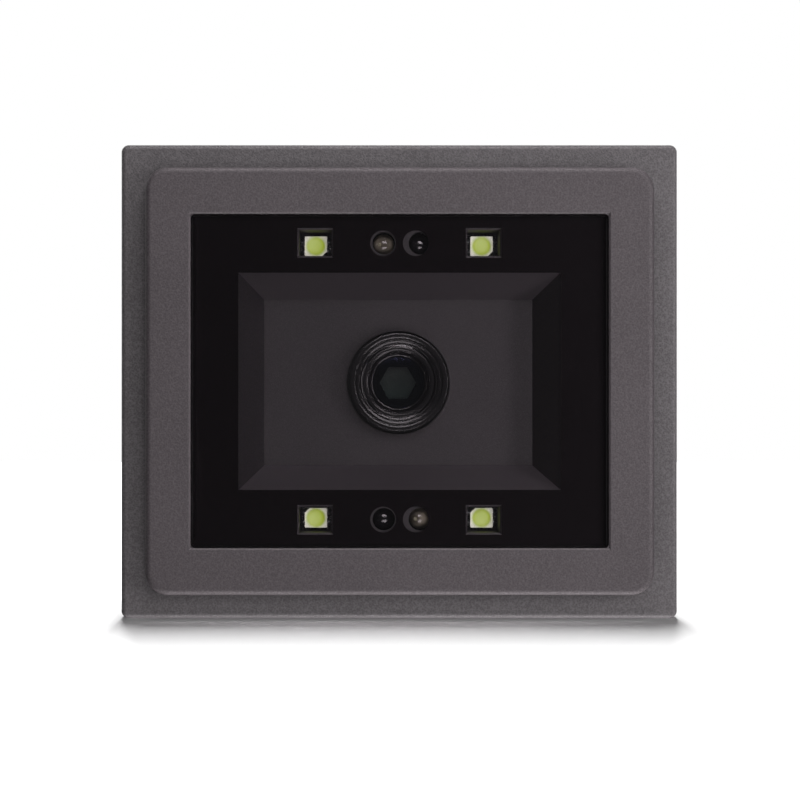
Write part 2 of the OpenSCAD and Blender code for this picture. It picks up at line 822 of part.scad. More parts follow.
module lens_lock_ring() {
    color("#1b1a1c") difference() {
        rod(lock_ring_r, holder_y - lock_ring_t, holder_y);
        rod(thread_r + thread_gap, holder_y - lock_ring_t - over, holder_y + over);
    }
}

module lens_holder() {
    color("#1d1b1e") difference() {
        union() {
            rod(holder_tower_r, holder_y, sensor_y - holder_base_l + over);
            block(holder_base_w, holder_base_w, sensor_y - holder_base_l, sensor_y);
            for (s = [-1, 1]) {
                at(s * holder_ear_x, 0) rod(holder_ear_r, sensor_y - holder_ear_l, sensor_y);
                at(s * holder_ear_x / 2, 0)
                    block(holder_ear_x, 2 * holder_ear_r, sensor_y - holder_ear_l, sensor_y);
            }
        }
        rod(thread_r + thread_gap, holder_y - over, holder_ledge_y);
        block(holder_window, holder_window, holder_ledge_y - over, sensor_y + over);
        block(sensor_cavity, sensor_cavity, filter_y, sensor_y + over);
        for (s = [-1, 1]) at(s * holder_ear_x, 0)
            rod(small_pilot_r, sensor_y - holder_ear_l - over, sensor_y + over);
    }
}

module lens_holder_screws() {
    color("#8c8c8a") for (s = [-1, 1]) at(s * holder_ear_x, 0)
        small_screw(sensor_in_y, holder_screw_l);
}

module ir_filter() {
    color("#5a7a90", 0.5) block(filter_w, filter_w, filter_y, filter_y + filter_t);
}

module image_sensor() {
    color("#2b2b30") block(chip_w, chip_h, sensor_y - chip_t, sensor_y);
}

module sensor_glass() {
    color("#405060", 0.6)
        block(glass_w, glass_h, sensor_y - chip_t - glass_t, sensor_y - chip_t);
}

module sensor_board() {
    color("#15301f") difference() {
        deep(sensor_y, sensor_in_y) round_rect(sensor_board_w, sensor_board_h, board_t);
        for (c = corners) at(c.x * post_x, c.y * post_z)
            rod(small_screw_r + small_hole_gap, sensor_y - over, sensor_in_y + over);
        for (s = [-1, 1]) at(s * holder_ear_x, 0)
            rod(small_screw_r + small_hole_gap, sensor_y - over, sensor_in_y + over);
    }
}

module sensor_board_screws() {
    color("#8c8c8a") for (c = corners) at(c.x * post_x, c.y * post_z)
        small_screw(sensor_in_y, sensor_screw_l);
}

// Flat cables: each leaves one socket sideways, turns back and enters the next
module flex_socket(side, y0)
    at(side * (socket_x + socket_w / 2), 0) block(socket_w, socket_h, y0, y0 + socket_t);

module flex_path(depth, t) {
    outer = flex_reach;
    translate([0, -t / 2]) square([outer - flex_bend_r, t]);
    translate([0, depth - t / 2]) square([outer - flex_bend_r, t]);
    translate([outer - t / 2, flex_bend_r]) square([t, depth - 2 * flex_bend_r]);
    for (end = [0, 1]) translate([outer - flex_bend_r, end ? depth - flex_bend_r : flex_bend_r])
        intersection() {
            difference() {
                circle(flex_bend_r + t / 2);
                circle(flex_bend_r - t / 2);
            }
            translate([0, end ? 0 : -2 * flex_bend_r]) square(2 * flex_bend_r);
        }
}

module flex_cable(side, y0, y1)
    translate([side * socket_out_x, y0, axis_z - flex_w / 2])
        linear_extrude(flex_w) mirror([side > 0 ? 0 : 1, 0, 0]) flex_path(y1 - y0, flex_t);

module light_flex_sockets() {
    color("#d8d2c0") {
        flex_socket(-1, light_in_y);
        flex_socket(-1, sensor_y - socket_t);
    }
}

module light_flex() {
    color("#c8872a") flex_cable(-1, light_in_y + socket_t / 2, sensor_y - socket_t / 2);
}

module camera_flex_sockets() {
    color("#d8d2c0") {
        flex_socket(1, sensor_in_y);
        flex_socket(1, decoder_y - socket_t);
    }
}

module camera_flex() {
    color("#c8872a") flex_cable(1, sensor_in_y + socket_t / 2, decoder_y - socket_t / 2);
}

// Decoder board
module decoder_board() {
    color("#15301f") difference() {
        deep(decoder_y, decoder_in_y) round_rect(decoder_board_w, decoder_board_h, board_t);
        for (c = corners) at(c.x * decoder_x, c.y * decoder_z)
            rod(small_screw_r + small_hole_gap, decoder_y - over, decoder_in_y + over);
    }
}

module decoder_board_screws() {
    color("#8c8c8a") translate([0, 2 * decoder_y, 0]) mirror([0, 1, 0])
        for (c = corners) at(c.x * decoder_x, c.y * decoder_z)
            small_screw(decoder_y, decoder_screw_l);
}

module processor() {
    color("#1a1a1c") at(0, processor_z)
        block(processor_w, processor_w, decoder_y - processor_t, decoder_y);
}

module memory_chip() {
    color("#1a1a1c") at(memory_x, processor_z)
        block(memory_w, memory_h, decoder_y - memory_t, decoder_y);
}

module power_capacitors() {
    for (i = [0, 1]) at(can_x + i * can_pitch, can_z) {
        color("#222226") block(2 * can_r, 2 * can_r, decoder_in_y, decoder_in_y + can_base_t);
        color("#b0b0b4") rod(can_r, decoder_in_y + can_base_t / 2, decoder_in_y + can_h);
    }
}

module power_inductor() {
    color("#3a3a3e") at(inductor_x, inductor_z) deep(decoder_in_y, decoder_in_y + inductor_t)
        round_rect(inductor_w, inductor_w, inductor_w / hex_sides);
}

module buzzer() {
    color("#18181a") at(buzzer_x, buzzer_z) difference() {
        rod(buzzer_r, decoder_in_y, decoder_in_y + buzzer_h);
        rod(buzzer_hole_r, decoder_in_y + buzzer_h - buzzer_hole_depth,
            decoder_in_y + buzzer_h + over);
    }
}

// Data port, a modular jack that stands on the decoder board and opens to the rear
module data_port() {
    color("#232326") at(0, -port_drop) difference() {
        block(port_w, port_h, decoder_in_y, port_y);
        at(0, socket_lift) block(socket_plug_w, socket_plug_h, port_y - socket_depth, port_y + over);
        at(0, socket_lift - socket_plug_h / 2 - latch_h / 2 + over / 2)
            block(latch_w, latch_h + over, port_y - socket_depth, port_y + over);
    }
}

module port_contacts() {
    top_z = socket_lift + socket_plug_h / 2;
    color("#c9a24a") for (i = [0:contact_count - 1])
        translate([(i - (contact_count - 1) / 2) * contact_pitch - contact_w / 2,
            port_y - socket_depth, axis_z - port_drop + top_z])
            rotate([90, 0, 90]) linear_extrude(contact_w)
                polygon([[0, 0], [0, -contact_drop], [contact_t, -contact_drop],
                    [contact_l, -contact_t], [contact_l, 0]]);
}

front_housing();
rear_cover();
housing_seal();
housing_screws();
mount_inserts();
scan_window();
window_tape();
optics_mask();
mask_screws();
light_board();
light_board_screws();
light_board_resistors();
white_led_1();
white_led_2();
white_led_3();
white_led_4();
led_phosphor_1();
led_phosphor_2();
led_phosphor_3();
led_phosphor_4();
aiming_led_upper();
aiming_led_lower();
proximity_sensor_upper();
proximity_sensor_lower();
lens_barrel();
lens_retaining_ring();
front_lens();
aperture_stop();
rear_lens();
rear_retaining_ring();
lens_lock_ring();
lens_holder();
lens_holder_screws();
ir_filter();
image_sensor();
sensor_glass();
sensor_board();
sensor_board_screws();
light_flex();
light_flex_sockets();
camera_flex();
camera_flex_sockets();
decoder_board();
decoder_board_screws();
processor();
memory_chip();
power_capacitors();
power_inductor();
buzzer();
data_port();
port_contacts();
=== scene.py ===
# %% [markdown]
# # A fixed barcode reader
#
# The reader is a dark plastic box that looks at passing labels through a smoked window.
# The CAD model gives every solid its size and place. This lesson gives them their looks:
# it lights them, paints them, and puts finer pieces in place of the ones that the camera
# sees up close, such as the lamps, the lens and the screws.
#
# The first cell loads the CAD model as a fixed frame. Everything later is in metres, in
# that same frame: X runs across the face, the window looks along -Y, and Z is up.

# %% Load the frame
import json
import math

import bmesh
import bpy
from mathutils import Matrix, Vector


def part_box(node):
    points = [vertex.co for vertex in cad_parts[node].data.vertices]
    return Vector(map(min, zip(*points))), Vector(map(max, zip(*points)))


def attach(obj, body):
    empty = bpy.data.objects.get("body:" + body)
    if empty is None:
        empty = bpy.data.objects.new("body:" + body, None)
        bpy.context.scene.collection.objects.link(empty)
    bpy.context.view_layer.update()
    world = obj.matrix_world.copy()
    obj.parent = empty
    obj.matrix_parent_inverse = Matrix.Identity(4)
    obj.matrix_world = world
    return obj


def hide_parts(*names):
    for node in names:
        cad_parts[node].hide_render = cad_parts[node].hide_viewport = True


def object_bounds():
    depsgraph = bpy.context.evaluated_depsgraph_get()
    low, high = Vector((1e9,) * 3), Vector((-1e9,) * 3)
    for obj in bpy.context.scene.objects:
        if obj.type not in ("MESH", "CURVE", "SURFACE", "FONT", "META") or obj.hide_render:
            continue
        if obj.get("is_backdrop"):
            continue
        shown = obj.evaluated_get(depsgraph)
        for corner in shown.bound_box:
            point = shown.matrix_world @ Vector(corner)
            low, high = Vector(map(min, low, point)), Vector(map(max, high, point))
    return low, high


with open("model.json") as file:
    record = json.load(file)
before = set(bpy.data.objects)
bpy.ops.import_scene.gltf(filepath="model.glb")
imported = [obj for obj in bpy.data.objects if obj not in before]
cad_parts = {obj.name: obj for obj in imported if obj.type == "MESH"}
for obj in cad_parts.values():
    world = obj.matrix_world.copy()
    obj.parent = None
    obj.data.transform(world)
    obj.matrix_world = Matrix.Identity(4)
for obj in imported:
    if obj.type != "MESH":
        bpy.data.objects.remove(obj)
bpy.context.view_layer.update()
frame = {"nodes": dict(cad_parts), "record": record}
MM = 0.001
axis_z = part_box("lens_barrel")[0].z + (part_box("lens_barrel")[1].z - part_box("lens_barrel")[0].z) / 2
print("height of the optical axis in mm:", round(axis_z / MM, 2))

# %% [markdown]
# ## The camera
#
# The photograph looks straight at the face from about 300 mm away, a little to the left
# of the middle and a little below it, as the insides of the lamp pockets show. A camera
# could be turned towards the middle, but then the edges of the box would no longer be
# parallel. The real one wasn't turned: its picture was taken off-centre. So the camera here
# looks exactly along +Y, and a small lens shift brings the reader to the middle.

# %% Camera
PHOTO_PX = 800
FOCAL_PX = 2121
SENSOR_MM = 36.0
camera_distance = 300 * MM
shoulder_y = -23.3 * MM
camera_data = bpy.data.cameras.new("studio_camera")
camera_data.sensor_width = SENSOR_MM
camera_data.lens = FOCAL_PX / PHOTO_PX * SENSOR_MM
camera_data.shift_x = 0.0539
camera_data.shift_y = 0.0299
camera_data.clip_start = 10 * MM
camera_data.clip_end = 20
camera = bpy.data.objects.new("studio_camera", camera_data)
camera.location = (-6 * MM, shoulder_y - camera_distance, 27.5 * MM)
camera.rotation_euler = (math.pi / 2, 0, 0)
bpy.context.scene.collection.objects.link(camera)
bpy.context.scene.camera = camera
print("lens in mm:", round(camera_data.lens, 1))

# %% [markdown]
# ## Colours and nodes
#
# A colour given as a hex value is an sRGB value, but shaders work on linear light, so one function
# turns a hex value to linear. A second one adds a node to any tree, with its settings, its
# typed values and its links. With these two, a material reads as a short list.

# %% Two helpers for every material
def linear(hex_colour):
    """The linear colour, with alpha, of an sRGB hex value."""
    channels = (int(hex_colour[i:i + 2], 16) / 255 for i in (1, 3, 5))
    return tuple(c / 12.92 if c <= 0.04045 else ((c + 0.055) / 1.055) ** 2.4
                 for c in channels) + (1.0,)


def add_node(tree, kind, values=None, links=None, **settings):
    """Adds a node, sets it up, types its values and links its inputs to other nodes' outputs."""
    node = tree.nodes.new(kind)
    for name, value in settings.items():
        setattr(node, name, value)
    for name, value in (values or {}).items():
        node.inputs[name].default_value = value
    for name, source in (links or {}).items():
        tree.links.new(source, node.inputs[name])
    return node


def start_finish(name):
    """An empty material tree with its output node."""
    material = bpy.data.materials.new(name)
    material.use_nodes = True
    tree = material.node_tree
    tree.nodes.clear()
    return material, tree, add_node(tree, "ShaderNodeOutputMaterial")


print("mid grey #808080 is", round(linear("#808080")[0], 3), "in linear light")

# %% [markdown]
# ## Floor and backdrop
#
# The reader stands on plain white, and behind it there is nothing but white. The floor is matt
# paint that the camera sees and that no other ray meets: so it throws no light back up into
# the shadows under the reader, and boxes of light can lie beneath it.

# %% Floor and world
floor_mesh = bpy.data.meshes.new("floor")
reach = 1.2
floor_mesh.from_pydata([(-reach, -reach, 0), (reach, -reach, 0), (reach, reach, 0), (-reach, reach, 0)],
                       [], [(0, 1, 2, 3)])
floor = bpy.data.objects.new("floor", floor_mesh)
bpy.context.scene.collection.objects.link(floor)
floor.visible_shadow = False
floor.visible_diffuse = False
floor.visible_glossy = False
floor.visible_transmission = False
floor_paint, tree, output = start_finish("matte_white_paint")
grain = add_node(tree, "ShaderNodeTexNoise", {"Scale": 900.0, "Detail": 2.0},
                 {"Vector": add_node(tree, "ShaderNodeTexCoord").outputs["Object"]})
tone = add_node(tree, "ShaderNodeMapRange", {"To Min": 0.90, "To Max": 0.92},
                {"Value": grain.outputs[0]})
paint = add_node(tree, "ShaderNodeBsdfDiffuse", {}, {"Color": tone.outputs[0]})
tree.links.new(paint.outputs[0], output.inputs[0])
floor_mesh.materials.append(floor_paint)
floor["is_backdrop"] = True

world = bpy.data.worlds.new("studio")
bpy.context.scene.world = world
world.use_nodes = True
tree = world.node_tree
tree.nodes.clear()
rays = add_node(tree, "ShaderNodeLightPath")
room = add_node(tree, "ShaderNodeBackground", {"Color": linear("#f2f0f4"), "Strength": 0.06})
backdrop = add_node(tree, "ShaderNodeBackground", {"Color": (1, 1, 1, 1), "Strength": 1.0})
either = add_node(tree, "ShaderNodeMixShader", {}, {
    0: rays.outputs["Is Camera Ray"], 1: room.outputs[0], 2: backdrop.outputs[0]})
add_node(tree, "ShaderNodeOutputWorld", {}, {"Surface": either.outputs[0]})
bpy.context.scene.view_settings.view_transform = "Standard"
bpy.context.scene.view_settings.look = "None"
print("floor side in m:", 2 * reach)

# %% [markdown]
# ## Light
#
# Around the reader the photograph has no shadow at all, but in front there is a short one that
# is soft along the depth and sharp at its ends. A lamp gives that when it is long in one
# direction and narrow in the other: a strip, high up and a little behind the reader. Two
# weaker ones, 8 degrees to its left and right, keep the shadow from spreading past the sides.
# They light the floor alone, through light linking.
#
# The face has its own lamps. Each round lamp lens shows two small highlights, one above the
# other and equally far from the middle, so two softboxes stand 19 degrees above and below the
# line of sight. Rounded edges that face up or down shine too, and the upper part of the face is
# the brightest: two boxes hang overhead and lie underneath, so near that the closest parts
# get the most. The left side of the face is darker, and the left wall of the step is in
# shadow, so two small ones stand to the right.
#
# The white lamps look brighter on the photograph than white plastic would in this light. They
# get a box of their own, which lights nothing else. And two large ones behind the reader are
# there for its back, which the photograph doesn't show.

# %% Softboxes
lamps_lit = bpy.data.collections.new("lamps_lit")
with_floor = bpy.data.collections.new("floor_lit")
without_floor = bpy.data.collections.new("floor_unlit")
for group, state in ((with_floor, "INCLUDE"), (without_floor, "EXCLUDE")):
    group.objects.link(floor)
    group.collection_objects[0].light_linking.link_state = state


def softbox(name, azimuth, elevation, distance, width, height, power, group, colour="#ffffff"):
    """A rectangle of light aimed at the middle of the face. Azimuth 0 is in front of the reader
    and 90 on its right; sizes are in metres, power in watts."""
    lamp = bpy.data.lights.new(name, "AREA")
    lamp.shape, lamp.size, lamp.size_y = "RECTANGLE", width, height
    lamp.energy, lamp.color = power, linear(colour)[:3]
    box = bpy.data.objects.new(name, lamp)
    a, e = math.radians(azimuth), math.radians(elevation)
    out = Vector((math.sin(a) * math.cos(e), -math.cos(a) * math.cos(e), math.sin(e)))
    box.location = Vector((0, -24 * MM, axis_z)) + out * distance
    box.rotation_mode = "QUATERNION"
    box.rotation_quaternion = (-out).to_track_quat("-Z", "Y")
    box.light_linking.receiver_collection = group
    bpy.context.scene.collection.objects.link(box)
    return box


softbox("softbox_above", 6, 19, 0.8, 0.4, 0.22, 1.2, without_floor, "#fff8fb")
softbox("softbox_below", 6, -19, 0.8, 0.4, 0.22, 0.96, without_floor, "#fff8fb")
softbox("softbox_overhead", 10, 70, 0.2, 0.18, 0.12, 0.72, without_floor, "#fff8fb")
softbox("softbox_underneath", 35, -80, 0.22, 0.24, 0.12, 1.08, without_floor, "#fff8fb")
softbox("softbox_right", 50, 0, 0.28, 0.16, 0.2, 0.66, without_floor, "#fff8fb")
softbox("strip_right", 70, 0, 0.2, 0.1, 0.2, 0.12, without_floor, "#fff8fb")
softbox("fill_behind", 158, 18, 1.0, 0.9, 0.7, 11.0, without_floor)
softbox("fill_behind_left", -140, 20, 1.0, 0.8, 0.7, 8.0, without_floor)
softbox("lamp_light", 6, 0, 0.8, 0.3, 0.3, 4.0, lamps_lit)
softbox("floor_strip", 180, 72, 6.0, 0.35, 2.4, 380.0, with_floor)
softbox("floor_right", 172, 55, 6.0, 0.3, 0.6, 140.0, with_floor)
softbox("floor_left", -172, 55, 6.0, 0.3, 0.6, 140.0, with_floor)
softbox("floor_fill", 0, 60, 3.0, 2.5, 2.5, 12.0, with_floor)

# %% [markdown]
# ## Moulded plastics
#
# The housing is ABS from a spark-eroded mould. The sparks leave the steel covered in tiny
# craters, so the plastic comes out with a fine, even grain of about 0.2 mm that breaks up
# every reflection: from afar it looks matt, from close by it is speckled. A flat colour with
# high roughness would look like paper. So one pattern drives three things at once:
# the height of the grain, its colour, and its gloss, which is a little higher on the crests.
#
# The other plastics in the reader come from finer or smoother moulds. They share the
# recipe, with their own grain size and depth, so one function makes them all.

# %% Moulded plastics
def moulded_plastic(name, crest, pit, grain_mm, depth_mm, gloss, ior=1.52):
    """Plastic with the grain of its mould. gloss is the roughness of pits and of crests."""
    material, tree, output = start_finish(name)
    place = add_node(tree, "ShaderNodeTexCoord").outputs["Object"]
    craters = add_node(tree, "ShaderNodeTexVoronoi", {"Scale": 1 / (grain_mm * MM)},
                       {"Vector": place}, feature="SMOOTH_F1")
    ripple = add_node(tree, "ShaderNodeTexNoise",
                      {"Scale": 0.6 / (grain_mm * MM), "Detail": 4.0, "Roughness": 0.65},
                      {"Vector": place})
    flow = add_node(tree, "ShaderNodeTexNoise", {"Scale": 90.0, "Detail": 2.0}, {"Vector": place})
    height = add_node(tree, "ShaderNodeMath", {}, {
        0: craters.outputs["Distance"], 1: ripple.outputs["Fac"]}, operation="ADD")
    share = add_node(tree, "ShaderNodeMapRange", {"From Min": 0.62, "From Max": 1.25},
                     {"Value": height.outputs[0]})
    cloudy = add_node(tree, "ShaderNodeMapRange",
                      {"From Min": 0.3, "From Max": 0.7, "To Min": -0.08, "To Max": 0.08},
                      {"Value": flow.outputs["Fac"]})
    both = add_node(tree, "ShaderNodeMath", {}, {0: share.outputs[0], 1: cloudy.outputs[0]},
                    operation="ADD", use_clamp=True)
    colour = add_node(tree, "ShaderNodeMix", {6: linear(pit), 7: linear(crest)},
                      {0: both.outputs[0]}, data_type="RGBA")
    rough = add_node(tree, "ShaderNodeMapRange", {"To Min": gloss[0], "To Max": gloss[1]},
                     {"Value": both.outputs[0]})
    bump = add_node(tree, "ShaderNodeBump", {"Strength": 1.0, "Distance": depth_mm * MM},
                    {"Height": height.outputs[0]})
    shader = add_node(tree, "ShaderNodeBsdfPrincipled", {"IOR": ior}, {
        "Base Color": colour.outputs[2], "Roughness": rough.outputs[0], "Normal": bump.outputs[0]})
    tree.links.new(shader.outputs[0], output.inputs[0])
    return material


finishes = {
    # Dark neutral grey; the grain is just coarse enough to sparkle at the photograph's scale
    "housing_plastic": moulded_plastic(
        "spark_eroded_abs", "#474647", "#343334", 0.22, 0.012, (0.68, 0.56), 1.4),
    # The cover has the same plastic and grain, so front and back look like one box
    "cover_plastic": moulded_plastic(
        "spark_eroded_abs_cover", "#474647", "#343334", 0.22, 0.012, (0.68, 0.56), 1.4),
    # The mask's mould is finer, so it looks smoother, and a shade darker behind the window
    "mask_plastic": moulded_plastic(
        "fine_grained_abs", "#3b373a", "#302c2f", 0.12, 0.004, (0.6, 0.5), 1.45),
    # Die-cut polyester film printed matt black: almost nothing comes back from it
    "black_film": moulded_plastic(
        "matt_black_polyester_film", "#1c181b", "#151214", 0.08, 0.0008, (0.75, 0.6), 1.12),
    # The lens holder's glass fibres lie under its skin and give it an uneven, greyish sheen
    "holder_plastic": moulded_plastic(
        "glass_filled_nylon", "#28272a", "#1d1c1f", 0.3, 0.006, (0.6, 0.45)),
    # Chips are epoxy full of fine silica: dull and even, like slate
    "chip_plastic": moulded_plastic(
        "epoxy_mould_compound", "#232325", "#1a1a1c", 0.05, 0.003, (0.7, 0.6)),
    # The flat cables' sockets are of a heat-proof plastic, cream and slightly waxy
    "socket_plastic": moulded_plastic(
        "cream_liquid_crystal_polymer", "#d9d0bc", "#cbc0a8", 0.4, 0.003, (0.5, 0.4)),
    # The buzzer's shell is a plain black with a soft sheen
    "buzzer_plastic": moulded_plastic(
        "black_noryl", "#202023", "#18181a", 0.25, 0.004, (0.5, 0.4)),
    # The port is glossier on its crests, because plugs rub it
    "port_plastic": moulded_plastic(
        "glass_filled_polyester", "#2b2b2e", "#1f1f22", 0.3, 0.005, (0.5, 0.36)),
    # Silicone swallows nearly all light, which makes the seal the dullest line of the box
    "seal_rubber": moulded_plastic(
        "moulded_silicone_rubber", "#1d1b1c", "#141213", 0.5, 0.01, (0.85, 0.7)),
    # Ferrite is pressed and fired iron oxide: a dark grey stone
    "inductor_ferrite": moulded_plastic(
        "sintered_ferrite", "#4b4a4e", "#39383c", 0.1, 0.004, (0.65, 0.5)),
    # The image sensor sits in a ceramic tray, dyed dark against stray light
    "sensor_ceramic": moulded_plastic(
        "alumina_ceramic", "#47464b", "#3b3a40", 0.06, 0.002, (0.55, 0.4)),
}
print("moulded finishes:", len(finishes))

# %% [markdown]
# Two of them vary over their part. The shoulder around the bezel was left coarser than the bezel
# itself, so the grain changes from one depth to the other. The bezel's colour is also multiplied by a
# darker, slightly warmer tone. The shoulder's lighter colour is painted light, for light that falls on
# the shoulder more than on the bezel. And the mask's upper and lower slopes are painted lighter than
# its floor, as painted light from the boxes above and below that they face. The straight walls of its
# holes and pockets are painted darker again, as painted shade. For all this the shader needs only
# the depth of a point and the direction that its face looks in.

# %% Finer bezel, painted light and shade
def tone_over(tree, share, colour, blend="MIX"):
    """Lays a colour over a finish's own colour, as much as the share says."""
    shader = next(node for node in tree.nodes if node.type == "BSDF_PRINCIPLED")
    below = shader.inputs["Base Color"].links[0].from_socket
    mixed = add_node(tree, "ShaderNodeMix", {7: linear(colour)}, {0: share, 6: below},
                     data_type="RGBA", blend_type=blend)
    tree.links.new(mixed.outputs[2], shader.inputs["Base Color"])


tree = finishes["housing_plastic"].node_tree
place = add_node(tree, "ShaderNodeTexCoord").outputs["Object"]
depth = add_node(tree, "ShaderNodeSeparateXYZ", {}, {0: place}).outputs["Y"]
on_bezel = add_node(tree, "ShaderNodeMapRange", {
    "From Min": -25.5 * MM, "From Max": -24.0 * MM, "To Min": 1.0, "To Max": 0.0}, {"Value": depth})
coarseness = add_node(tree, "ShaderNodeMath", {1: -0.4, 2: 1.0}, {0: on_bezel.outputs[0]},
                      operation="MULTIPLY_ADD")
bump = next(node for node in tree.nodes if node.type == "BUMP")
bump.inputs["Distance"].default_value = 0.026 * MM
tree.links.new(coarseness.outputs[0], bump.inputs["Strength"])
# Painted light: this tone makes the bezel darker and a little warmer than the shoulder. The darkness stands
# in for light that falls on the shoulder more than on the bezel.
bezel_shade_tone = "#d8d0d4"
tone_over(tree, on_bezel.outputs[0], bezel_shade_tone, "MULTIPLY")

tree = finishes["mask_plastic"].node_tree
way = add_node(tree, "ShaderNodeNewGeometry").outputs["Normal"]
way = add_node(tree, "ShaderNodeVectorMath", {}, {0: way}, operation="ABSOLUTE").outputs[0]
way = add_node(tree, "ShaderNodeSeparateXYZ", {}, {0: way}).outputs
tapered = add_node(tree, "ShaderNodeMapRange", {"From Min": 0.1, "From Max": 0.2}, {"Value": way["Y"]})
steep = add_node(tree, "ShaderNodeMapRange", {"From Min": 0.3, "From Max": 0.9}, {"Value": way["Z"]})
slope_painted_light = add_node(tree, "ShaderNodeMath", {}, {0: steep.outputs[0], 1: tapered.outputs[0]},
                  operation="MULTIPLY")
wall_painted_shade = add_node(tree, "ShaderNodeMath", {0: 1.0}, {1: tapered.outputs[0]}, operation="SUBTRACT")
# Painted light on the upper and lower slopes, which face the boxes above and below. Painted shade on the
# straight walls of holes and pockets.
tone_over(tree, slope_painted_light.outputs[0], "#6a6569")
tone_over(tree, wall_painted_shade.outputs[0], "#a8a8a8", "MULTIPLY")
print("the bezel keeps", round(linear(bezel_shade_tone)[1], 2), "of the shoulder's brightness")

# %% [markdown]
# ## Metals
#
# The metal parts are small and turned: zinc-plated steel screws, brass inserts, black
# anodised lens parts and drawn aluminium cans. A lathe leaves fine rings around the
# part's own axis, which would need a material for each part. At this size the rings blur into
# a soft streak, so a stretched noise stands for them: long across the face and short
# along the depth. Black anodising is a hard oxide full of dye. It hides the metal under it and
# shines like polished stone, so its surface isn't metallic.

# %% Metals
def turned_metal(name, bright, dull, streak_mm, gloss, metallic=1.0, depth_mm=0.002):
    """Metal with fine tool marks. gloss is the roughness of the bright and the dull streaks."""
    material, tree, output = start_finish(name)
    place = add_node(tree, "ShaderNodeTexCoord").outputs["Object"]
    stretched = add_node(tree, "ShaderNodeMapping", {"Scale": (0.15, 1.0, 0.15)}, {"Vector": place})
    streaks = add_node(tree, "ShaderNodeTexNoise", {"Scale": 1 / (streak_mm * MM), "Detail": 3.0},
                       {"Vector": stretched.outputs[0]})
    stains = add_node(tree, "ShaderNodeTexNoise", {"Scale": 450.0, "Detail": 3.0}, {"Vector": place})
    share = add_node(tree, "ShaderNodeMapRange", {"From Min": 0.35, "From Max": 0.65},
                     {"Value": streaks.outputs["Fac"]})
    colour = add_node(tree, "ShaderNodeMix", {6: linear(dull), 7: linear(bright)},
                      {0: share.outputs[0]}, data_type="RGBA")
    worn = add_node(tree, "ShaderNodeMath", {}, {
        0: share.outputs[0], 1: stains.outputs["Fac"]}, operation="MULTIPLY")
    rough = add_node(tree, "ShaderNodeMapRange", {"To Min": gloss[1], "To Max": gloss[0]},
                     {"Value": worn.outputs[0]})
    bump = add_node(tree, "ShaderNodeBump", {"Strength": 0.6, "Distance": depth_mm * MM},
                    {"Height": streaks.outputs["Fac"]})
    shader = add_node(tree, "ShaderNodeBsdfPrincipled", {"Metallic": metallic}, {
        "Base Color": colour.outputs[2], "Roughness": rough.outputs[0], "Normal": bump.outputs[0]})
    tree.links.new(shader.outputs[0], output.inputs[0])
    return material


metals = {
    # Zinc plating: bright, with a faint blue-grey cloudiness
    "screw_steel": turned_metal("zinc_plated_steel", "#c4c5c8", "#a2a4a9", 0.12, (0.24, 0.42)),
    # Brass straight from the lathe: warm yellow, sharp sparks on its knurls and threads
    "insert_brass": turned_metal("free_cutting_brass", "#d9b96a", "#bd9a4c", 0.10, (0.2, 0.38)),
    # Black anodising: nearly black face on, with clear thin arcs on its edges
    "black_aluminium": turned_metal(
        "black_anodised_aluminium", "#161417", "#0f0d10", 0.08, (0.14, 0.17), 0.0, 0.0001),
    # The capacitors' cans are deep-drawn and keep a soft satin shine
    "can_aluminium": turned_metal("drawn_aluminium", "#c9cacc", "#b3b4b8", 0.2, (0.25, 0.35)),
    # Gold over springy bronze: the only saturated spark at the back
    "contact_gold": turned_metal("gold_plated_bronze", "#e3c069", "#cda54d", 0.05, (0.16, 0.28)),
}
finishes.update(metals)
# Solder and tinned leads: they froze from a melt, so they are smooth and silvery
tin = turned_metal("tin_lead_solder", "#c9cbcc", "#a9abad", 0.3, (0.18, 0.4))
print("metal finishes:", len(metals) + 1)

# %% [markdown]
# ## Clear and smoked pieces
#
# The window is acrylic, cast with a trace of grey dye: it dims what is behind it and mirrors
# what is in front. The lenses and the filter are coated glass. Real refraction would look
# much the same through these thin flat plates, at the cost of noise in the dark recess behind
# them. So each is a clear tint with a mirror on top: little mirror straight on, more at a glancing
# angle. The Fresnel node takes the inner side of a plate for the inside of solid glass
# and mirrors everything beyond 42 degrees there, so a slanting look would show a black
# window. For looks the share is worked out with a power of the slant instead. Only light on its
# way in keeps the node: its total mirror keeps the steep light of the two near boxes
# out of the recess, where the photograph shows none. Handling leaves faint smears and dust,
# which show as small changes in the mirror's sharpness.

